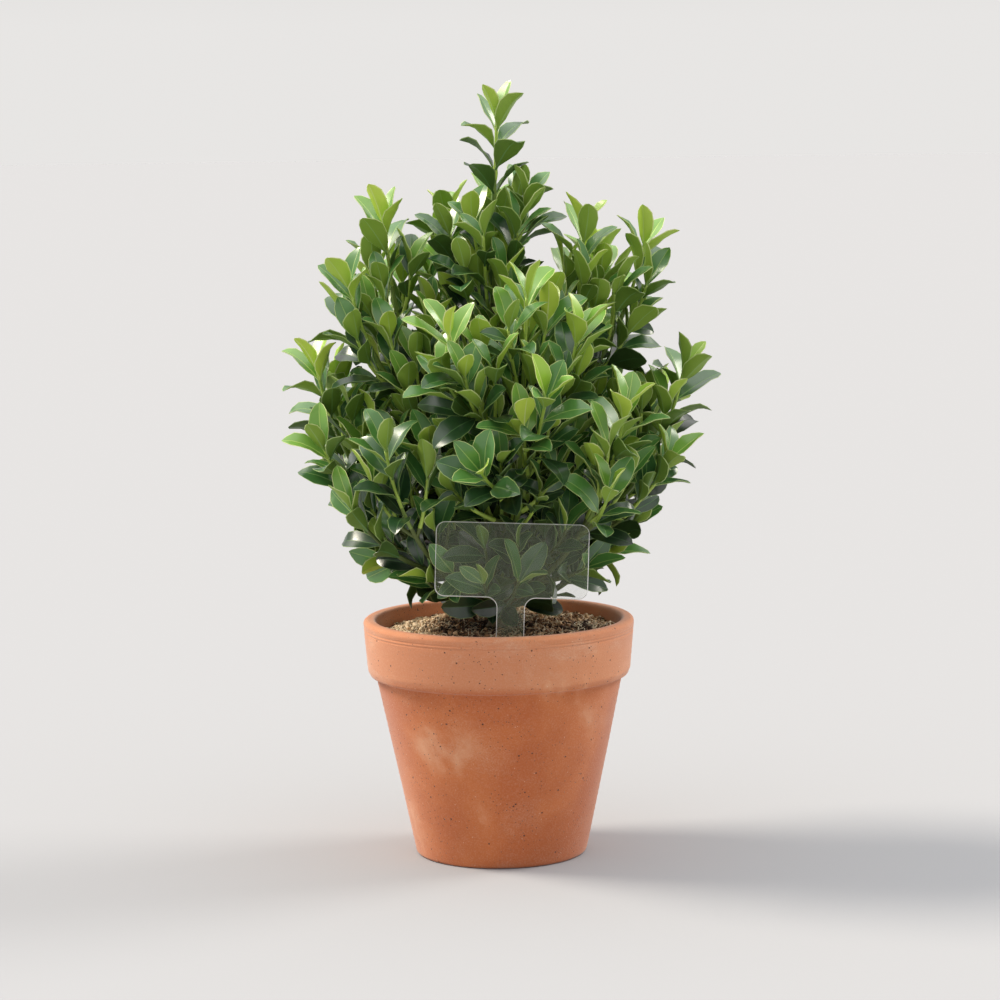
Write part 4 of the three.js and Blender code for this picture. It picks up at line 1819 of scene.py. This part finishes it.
@dataclass
class Shrub:
    """The plant: its main stem, twelve boughs, and thirteen masses of twigs and leaves."""

    label: Label
    growth: Growth = Growth()
    form: LeafForm = LeafForm()
    wood: Wood = Wood()
    crown: Crown = field(default_factory=Crown)
    clearance: float = 0.5 * MM
    above_label: float = 5 * MM
    label_view: float = 60 * MM
    bark: Bark = Bark()
    twig_finishes: tuple[Even, ...] = (
        Even("twig_tip", "a6c052", 0.45),
        Even("twig_green", "768f3e", 0.5),
        Even("twig_olive", "57632f", 0.6),
    )

    def __post_init__(self) -> None:
        """Grows the limbs and lays out what the leaves have to miss."""
        self.limbs = self.grow_limbs()
        self.side_twigs: list[Limb] = []
        self.leaves: list[Leaf] = []
        self.around = Obstacles()

    def limb_path(self, foot: Array, tip: Array, spread: tuple[float, float]) -> Array:
        """The bend of a limb that goes out first and then turns up towards its tip.

        Args:
            foot: where the limb starts.
            tip: where it ends.
            spread: the shares of the way out and of the way up that the bend lies at.

        Returns:
            The place of the bend.
        """
        bend = blend(foot, tip, spread[0])
        bend[2] = blend(foot[2], tip[2], spread[1])
        return bend

    def grow_limbs(self) -> list[Limb]:
        """Grows every limb of the source's table.

        Returns:
            The limbs, in the table's order.
        """
        rule = self.growth
        ground = MASSES["leader"].fork * MM
        top = polar(*MASSES["leader"].shoots[0])
        sway = np.array([-rule.sway, rule.sway, (ground + top[2]) / 2])
        stem = (np.array([0, 0, ground]), sway, top)
        limbs: list[Limb] = []
        for mass, plan in MASSES.items():
            own: Limb | None = None
            for azimuth, reach, height, *leaves in plan.shoots:
                tip = polar(azimuth, reach, height)
                if mass == "leader":
                    foot, bend = stem[:2]
                elif own is None:
                    share = (plan.fork * MM - ground) / (top[2] - ground)
                    foot = limbs[0].curve([share])[0]
                    bend = self.limb_path(foot, tip, rule.steep_spread if plan.steep else rule.bough_spread)
                else:
                    foot = own.at(leaves)[0]
                    bend = self.limb_path(foot, tip, rule.twig_spread)
                first = own is None
                limb = Limb(mass, azimuth, foot, bend, tip, first, plan.start if first else 0, len(limbs))
                own = own or limb
                limbs.append(limb)
        return limbs

    def radius(self, limb: Limb, shares: Array) -> Array:
        """Radius of a limb, tapering as in the source.

        Args:
            limb: the limb.
            shares: shares of its length.

        Returns:
            A radius for each share.
        """
        rule = self.growth
        if limb.index == 0:
            height = shares * (limb.tip[2] - limb.foot[2])
            flare = (rule.stem_foot - rule.stem_radius) * np.exp(-height / rule.flare_height)
            return blend(rule.stem_radius, rule.last_radius, shares**rule.stem_taper) + flare
        if limb.first:
            return blend(rule.bough_radius, rule.last_radius, shares**rule.bough_taper)
        thick = rule.twig_radius if limb.index < len(self.limbs) else rule.side_twig_radius
        return blend(thick, rule.last_radius, shares)

    def nodes(self, limb: Limb, bare: float) -> list[float]:
        """The nodes of a shoot, as lengths back from its tip: close there, even further down.

        Args:
            limb: the shoot.
            bare: the length at its foot that has none.

        Returns:
            The lengths, shortest first.
        """
        back, found = self.growth.first_node, []
        while back < limb.length - bare:
            found.append(back)
            back += self.growth.internode.at(len(found) - 1)
        return found

    def leafy_nodes(self, limb: Limb) -> list[float]:
        """The nodes that bear leaves."""
        return self.nodes(limb, limb.start * limb.length + self.growth.bare_foot)

    def radial(self, bud: Bud, turn: float | Array) -> tuple[Array, Array, Array]:
        """Where and which way a bud grows. Each pair stands crosswise to the next.

        Args:
            bud: the bud.
            turn: degrees turned round the shoot from there, one or several.

        Returns:
            Its place, the shoot's direction there and the way out, which has a row for each turn.
        """
        limb = bud.limb
        share = np.array([1 - bud.back / limb.length])
        along, sideways, outwards = (axis[0] for axis in limb.axes(share))
        start = 45 + self.growth.shoot_turn * scatter(limb.index, 0, 10) + 90 * bud.node + 180 * bud.side
        start += self.growth.turn_scatter * bud.vary(1)
        angle = np.radians(start + turn)
        way = np.multiply.outer(np.cos(angle), outwards) + np.multiply.outer(np.sin(angle), sideways)
        return limb.at(share)[0], along, way

    def leaf_poses(self, bud: Bud) -> LeafPoses:
        """One leaf, by the source's rule, in each way that it may be fitted.

        Args:
            bud: where it grows.

        Returns:
            A pose for each of ATTEMPTS.
        """
        rule, node, vary = self.growth, bud.node, bud.vary
        lift, roll, turn, size = ATTEMPTS.T
        root, along, radial = self.radial(bud, turn)
        angle = np.radians(rule.angle.at(node) - lift + rule.angle_scatter * vary(2))[:, None]
        length = size * rule.length.at(node) * (1 + rule.length_scatter * vary(3))
        direction = along * np.cos(angle) + radial * np.sin(angle)
        outside = unit(root * [1, 1, 0] + 1e-6)
        upper = along * np.sin(angle) - radial * np.cos(angle)
        turned = min(1.0, node / rule.turned_after)
        upper = upper + turned * (rule.turn_up * UP + rule.turn_out * outside)
        upper = unit(upper - direction * np.sum(upper * direction, axis=1, keepdims=True))
        tilt = np.radians(roll + rule.roll_scatter * vary(4))[:, None]
        upper = upper * np.cos(tilt) + np.cross(direction, upper) * np.sin(tilt)
        width = rule.leaf_slimness * length * (1 + rule.width_scatter * vary(7))
        fold = rule.fold.at(node) * (1 + rule.fold_scatter * vary(5))
        curl = math.radians(rule.curl.at(node) * (1 + rule.curl_scatter * vary(6)))
        twist = math.radians(rule.twist_scatter * vary(8))
        bends = (fold, curl, twist, rule.bow_scatter * vary(9), rule.wave_scatter * vary(13))
        same = (np.full(len(ATTEMPTS), bend) for bend in bends)
        return LeafPoses(np.tile(root, (len(ATTEMPTS), 1)), direction, upper, length, width, *same)

    def tint(self, bud: Bud) -> LeafTint:
        """The age of a leaf: young at a shoot's tip, older down it, with each shoot its own shade, and darker
        as painted shade low in the crown and on side twigs.

        Args:
            bud: where it grows.

        Returns:
            The tint.
        """
        rule, limb = self.growth, bud.limb
        shade = rule.shoot_shade * float(scatter(limb.index, 0, 11)) + rule.leaf_shade * bud.vary(12)
        # Painted shade: low shoots and inner side twigs get older, darker tints.
        low = 1 - float(smooth_step(limb.tip[2], *rule.painted_shade_heights))
        inner = limb.index >= len(self.limbs)
        age = rule.ages[min(bud.node, len(rule.ages) - 1)] + shade
        age += rule.low_painted_shade * low + rule.inner_painted_shade * inner
        return LeafTint(int(np.clip(round(age), 0, len(LeafTint) - 1)))

    def leaf_out(self, limb: Limb, node: int, back: float) -> None:
        """Grows the pair of leaves of one node, each where it finds room.

        Args:
            limb: the shoot.
            node: the number of the node from the tip.
            back: the node's distance from the tip.
        """
        spare = -self.growth.spire_beyond if limb.index < len(self.limbs) else 0
        faces = self.form.rough_faces()
        for side in (0, 1):
            bud = Bud(limb, node, side, back)
            poses = self.leaf_poses(bud)
            corners = self.form.rough(poses)
            for i in np.flatnonzero(self.crown.holds(corners, spare)):
                if not self.around.meets(corners[i], faces, but=limb.index):
                    self.around.add(corners[i], faces, -1)
                    self.leaves.append(Leaf(limb.index, limb.mass, self.tint(bud), poses.only(i)))
                    break

    def side_twig(self, bud: Bud, turn: float, size: float) -> Limb:
        """A side twig from the axil of an older leaf: upright in the crown, and level where the crown is low.

        Args:
            bud: where it grows.
            turn: degrees that it is turned round the shoot.
            size: share of its full length.

        Returns:
            The side twig as a limb.
        """
        rule, limb = self.growth, bud.limb
        place, along, radial = self.radial(bud, turn)
        length = rule.side_twig_length + rule.side_twig_gain * (bud.back - rule.free_spire)
        length = size * min(rule.longest_side_twig, length) * (1 + rule.side_twig_scatter * bud.vary(9))
        raised = smooth_step(place[2], rule.level_below, rule.rising_above)
        angle = math.radians(blend(rule.low_twig_angle, rule.side_twig_angle, raised))
        heading = unit(along * math.cos(angle) + radial * math.sin(angle) + rule.side_twig_rise * raised * UP)
        tip = place + heading * max(length, rule.shortest_side_twig)
        azimuth = math.degrees(math.atan2(radial[1], radial[0]))
        index = FIRST_NUMBER + LIMB_NUMBERS * limb.index + 2 * bud.node + bud.side
        bend = self.limb_path(place, tip, rule.twig_spread)
        return Limb(limb.mass, azimuth, place, bend, tip, False, 0, index)

    def grow_side_twigs(self) -> None:
        """Grows the side twigs whose way is free and whose tips stand well apart from all others.

        The top of each spire has none. Low down they also grow from the bare wood.
        """
        rule = self.growth
        tips = np.array([limb.tip for limb in self.limbs])
        paths = np.concatenate([limb.at(np.linspace(limb.start, 1, 24)) for limb in self.limbs])
        for limb in self.limbs:
            free = rule.free_leader if limb.mass == "leader" else rule.free_spire
            for node, back in enumerate(self.nodes(limb, rule.lowest_twig)):
                if back < free:
                    continue
                height = float(limb.at([1 - back / limb.length])[0, 2])
                inside = rule.inside_low_crown if height < rule.rising_above else rule.inside_crown
                ways = itertools.product((0, 1), rule.side_twig_turns, rule.side_twig_sizes)
                for side, turn, size in ways:
                    twig = self.side_twig(Bud(limb, node, side, back), turn, size)
                    spaced = np.linalg.norm(tips - twig.tip, axis=1).min() > rule.tip_spacing
                    if not spaced or np.linalg.norm(paths - twig.tip, axis=1).min() < rule.tip_spacing / 2:
                        continue
                    corners, faces = self.rough_limb(twig, rule.side_twig_joint, rule.side_twig_room)
                    if not self.crown.holds(corners, inside):
                        continue
                    if self.around.meets(corners, faces, but=limb.index):
                        continue
                    twig.index += TWIG_NUMBERS * len(self.side_twigs)
                    self.around.add(corners, faces, twig.index)
                    self.side_twigs.append(twig)
                    tips = np.vstack([tips, twig.tip])

    def rough_limb(self, limb: Limb, start: float, spare: float) -> tuple[Array, list[tuple[int, ...]]]:
        """A four-sided tube round a limb, to test what touches it.

        Args:
            limb: the limb.
            start: share of its length where the tube starts.
            spare: how far the tube stands off it.

        Returns:
            The tube's corners, and its faces as corner numbers.
        """
        shares = np.linspace(start, 1, max(3, round(limb.length * (1 - start) / (12 * MM))))
        _, sideways, outwards = limb.axes(shares)
        radii = np.repeat((self.radius(limb, shares) + spare)[:, None], 4, 1)
        shape = tube(limb.at(shares), sideways, outwards, radii)
        return shape.corners, [tuple(face) for group in shape.groups for face in group.tolist()]

    def lay_out(self) -> None:
        """Puts the limbs and the label in the leaves' way, and keeps the view of the label's panel clear."""
        for limb in self.limbs:
            self.around.add(*self.rough_limb(limb, 0, self.growth.limb_room), limb.index)
        boxes = self.label.boxes()
        low, high = boxes[-1]
        self.crown.kept_clear = (low - [0, self.label_view, 0], high + [0, 0, self.above_label])
        for low, high in boxes:
            ends = np.array([low - self.clearance, high + self.clearance])
            corners = np.array([[ends[i, 0], ends[j, 1], ends[k, 2]] for i, j, k in np.ndindex(2, 2, 2)])
            faces = [(0, 1, 3, 2), (4, 6, 7, 5), (0, 4, 5, 1), (2, 3, 7, 6), (0, 2, 6, 4), (1, 5, 7, 3)]
            self.around.add(corners, faces, -1)

    def grow(self) -> None:
        """Grows the side twigs, then the leaves, those nearest to any tip first, and drops bare twigs."""
        self.lay_out()
        self.grow_side_twigs()
        shoots = [*self.limbs, *self.side_twigs]
        nodes = [self.leafy_nodes(shoot) for shoot in shoots]
        for node in range(max(map(len, nodes))):
            for shoot, backs in zip(shoots, nodes):
                if node < len(backs):
                    self.leaf_out(shoot, node, backs[node])
        counts = Counter(leaf.shoot for leaf in self.leaves)
        bare = {twig.index for twig in self.side_twigs if counts[twig.index] < self.growth.fewest_leaves}
        self.side_twigs = [twig for twig in self.side_twigs if twig.index not in bare]
        self.leaves = [leaf for leaf in self.leaves if leaf.shoot not in bare]
        log.info("%d side twigs, %d leaves in all", len(self.side_twigs), len(self.leaves))

    def skin(
        self, limb: Limb, start: float, end: float, sides: int, step: float
    ) -> tuple[Array, Array, Array, Array]:
        """Points and radii for the surface of part of a limb.

        The radius swells a little at each node, and the wood is slightly four-cornered: r * (1 + c * cos 4a).

        Args:
            limb: the limb.
            start: share of its length where the part starts.
            end: share where it ends.
            sides: corners round it.
            step: distance between rings.

        Returns:
            Centres, sideways and outwards axes, and radii by ring and side.
        """
        shares = np.linspace(start, end, max(4, round(limb.length * (end - start) / step)))
        _, sideways, outwards = limb.axes(shares)
        radius = self.radius(limb, shares)
        back = (1 - shares) * limb.length
        for node in self.nodes(limb, 0):
            swelling = np.exp(-(((back - node) / self.wood.node_length) ** 2))
            radius = radius + self.wood.node_swelling * swelling
        angles = np.arange(sides) * TURN / sides
        radii = radius[:, None] * (1 + self.wood.cornered * np.cos(4 * angles))
        return limb.at(shares), sideways, outwards, radii

    def twig_shape(self, limb: Limb) -> Shape:
        """One leafy twig: green at its tip and older towards its foot, and olive low in the crown, partly
        older wood and partly painted shade.

        Args:
            limb: the twig.

        Returns:
            Its closed tube.
        """
        wood = self.wood
        centres, sideways, outwards, radii = self.skin(limb, limb.start, 1, wood.twig_sides, wood.twig_step)
        back = np.linspace((1 - limb.start) * limb.length, 0, len(centres))[1:]
        # Below a set height the wood is olive: partly older wood, partly painted shade.
        shaded = centres[1:, 2] < wood.shaded_below
        age = np.where(shaded, Twig.OLIVE, np.digitize(back, wood.twig_ages))
        return tube(centres, sideways, outwards, radii, age)

    def bark_shape(self, limb: Limb) -> Shape:
        """The bare part of the main stem or of a bough, with the relief of its bark.

        The radius changes by ridges that run along the limb, r * h * sin(5a + drift), by fine noise, and by a
        swelling at a bough's fork that fades as exp(-length / l).

        Args:
            limb: the limb.

        Returns:
            Its closed tube.
        """
        wood, stem = self.wood, limb.mass == "leader"
        sides = wood.stem_sides if stem else wood.bough_sides
        end = limb.start + wood.bark_overlap / limb.length
        centres, sideways, outwards, radii = self.skin(limb, 0, end, sides, wood.bark_step)
        angles = np.arange(sides) * TURN / sides
        drift = np.linspace(0, wood.ridge_drift, len(centres))[:, None]
        along = wood.grain_stretch * centres[:, 2:] + 0 * radii
        places = np.stack([radii * np.cos(angles), radii * np.sin(angles), along], -1)
        grain = rough_noise(places.reshape(-1, 3), wood.grain, 3).reshape(radii.shape)
        ridges = wood.ridge_height * np.sin(wood.ridges * angles + drift)
        walked = np.linspace(0, limb.length * limb.start, len(centres))[:, None]
        fork = 1 + (0 if stem else wood.fork_swelling) * np.exp(-walked / wood.fork_length)
        radii = radii * fork * (1 + ridges + wood.grain_height * grain)
        return tube(centres, sideways, outwards, radii)

    def build(self) -> list[bpy.types.Object]:
        """Makes the bark of each limb, then each mass's twigs and leaves, in place of their nodes.

        Returns:
            The finished pieces.
        """
        self.grow()
        bark = [self.bark.material()]
        wood = [finish.material() for finish in self.twig_finishes]
        green = [part for tint in LeafTint for part in LEAF_FINISHES[tint].materials(tint)]
        made = []
        for limb in filter(lambda limb: limb.first, self.limbs):
            node = "main_stem" if limb.mass == "leader" else f"bough_{limb.mass}"
            made.append(piece(f"{node}_bark", self.bark_shape(limb), bark, [node]))
        for mass in MASSES:
            twigs = [limb for limb in [*self.limbs, *self.side_twigs] if limb.mass == mass]
            leaves = [leaf for leaf in self.leaves if leaf.mass == mass]
            poses = LeafPoses.gathered([leaf.pose for leaf in leaves])
            blades = self.form.shape(poses, np.array([leaf.tint for leaf in leaves]))
            node = [f"foliage_{mass}"]
            made.append(piece(f"twigs_{mass}", joined(map(self.twig_shape, twigs)), wood, node))
            made.append(piece(f"leaves_{mass}", blades, green, node, crease=35))
        return made


@dataclass(frozen=True)
class Sun:
    """A wide soft sun: degrees from +X towards +Y, over the horizon and across, and watts a square metre."""

    name: str
    azimuth: float
    height: float
    width: float
    strength: float
    colour: str

    def hang(self) -> None:
        """Adds the light, two metres from the pot."""
        light = bpy.data.lights.new(self.name, "SUN")
        light.angle = math.radians(self.width)
        light.energy = self.strength
        light.color = linear(self.colour)[:3]
        lamp = bpy.data.objects.new(self.name, light)
        turn, height = math.radians(self.azimuth), math.radians(self.height)
        level = math.cos(height)
        towards = Vector((level * math.cos(turn), level * math.sin(turn), math.sin(height)))
        lamp.location = 2 * towards
        lamp.rotation_euler = towards.to_track_quat("Z", "Y").to_euler()
        bpy.context.scene.collection.objects.link(lamp)


@dataclass
class Studio:
    """A pale floor under an even, bright sky with two soft suns, and the photo's camera."""

    floor_radius: float = 60.0
    floor_finish: Even = Even("floor", "a6a8ad", roughness=0.9, specular=0.0)
    sky_colour: str = "fcfaf8"
    sky_strengths: tuple[tuple[float, float], ...] = ((0.04, 0.825), (0.3, 0.34), (1.0, 1.7))
    suns: tuple[Sun, ...] = (
        Sun("key", 166, 46, 20, 3.3, "fff4e2"),
        Sun("rim", 20, 38, 24, 1.5, "fff9ee"),
    )
    lens: float = 108
    sensor: float = 36
    distance: float = 1422 * MM
    height: float = 339.7 * MM
    sideways: float = 1.3 * MM
    pitch: float = 6.8
    roll: float = 0.7

    def floor(self) -> None:
        """Lays a round floor under the pot."""
        bpy.ops.mesh.primitive_circle_add(vertices=128, radius=self.floor_radius, fill_type="NGON")
        floor = bpy.context.object
        floor.name = "floor"
        floor.data.materials.append(self.floor_finish.material())

    def sky(self) -> None:
        """Lights the scene from all round: bright at the horizon, dimmer above it and brightest overhead."""
        world = bpy.data.worlds.new("sky")
        world.use_nodes = True
        tree = world.node_tree
        background = tree.nodes["Background"]
        background.inputs["Color"].default_value = linear(self.sky_colour)
        places = tree.nodes.new("ShaderNodeTexCoord")
        apart = tree.nodes.new("ShaderNodeSeparateXYZ")
        tree.links.new(places.outputs["Generated"], apart.inputs[0])
        ramp = tree.nodes.new("ShaderNodeValToRGB")
        stops = ramp.color_ramp.elements
        stops.new(self.sky_strengths[1][0])
        for stop, (place, strength) in zip(stops, self.sky_strengths):
            stop.position = place
            stop.color = (strength, strength, strength, 1)
        tree.links.new(apart.outputs["Z"], ramp.inputs["Fac"])
        tree.links.new(ramp.outputs["Color"], background.inputs["Strength"])
        bpy.context.scene.world = world

    def camera(self) -> None:
        """Sets the camera where the photo was taken from."""
        lens = bpy.data.cameras.new("camera")
        lens.lens = self.lens
        lens.sensor_width = self.sensor
        lens.clip_end = 4 * self.floor_radius
        camera = bpy.data.objects.new("camera", lens)
        level = Matrix.Rotation(math.radians(90 - self.pitch), 4, "X")
        rolled = level @ Matrix.Rotation(math.radians(-self.roll), 4, "Z")
        camera.matrix_world = Matrix.Translation((self.sideways, -self.distance, self.height)) @ rolled
        bpy.context.scene.collection.objects.link(camera)
        bpy.context.scene.camera = camera

    def build(self) -> None:
        """Makes the floor, the lights and the camera."""
        self.floor()
        self.sky()
        for sun in self.suns:
            sun.hang()
        self.camera()
        view = bpy.context.scene.view_settings
        view.view_transform = "Standard"
        view.look = "None"


def main() -> None:
    """Builds the plant in its pot, then the studio round it."""
    logging.basicConfig(level=logging.INFO, format="%(message)s")
    Studio().build()
    pot = Pot()
    pot.build()
    Compost(pot).build()
    label = Label()
    label.build()
    Shrub(label).build()


if __name__ == "__main__":
    main()
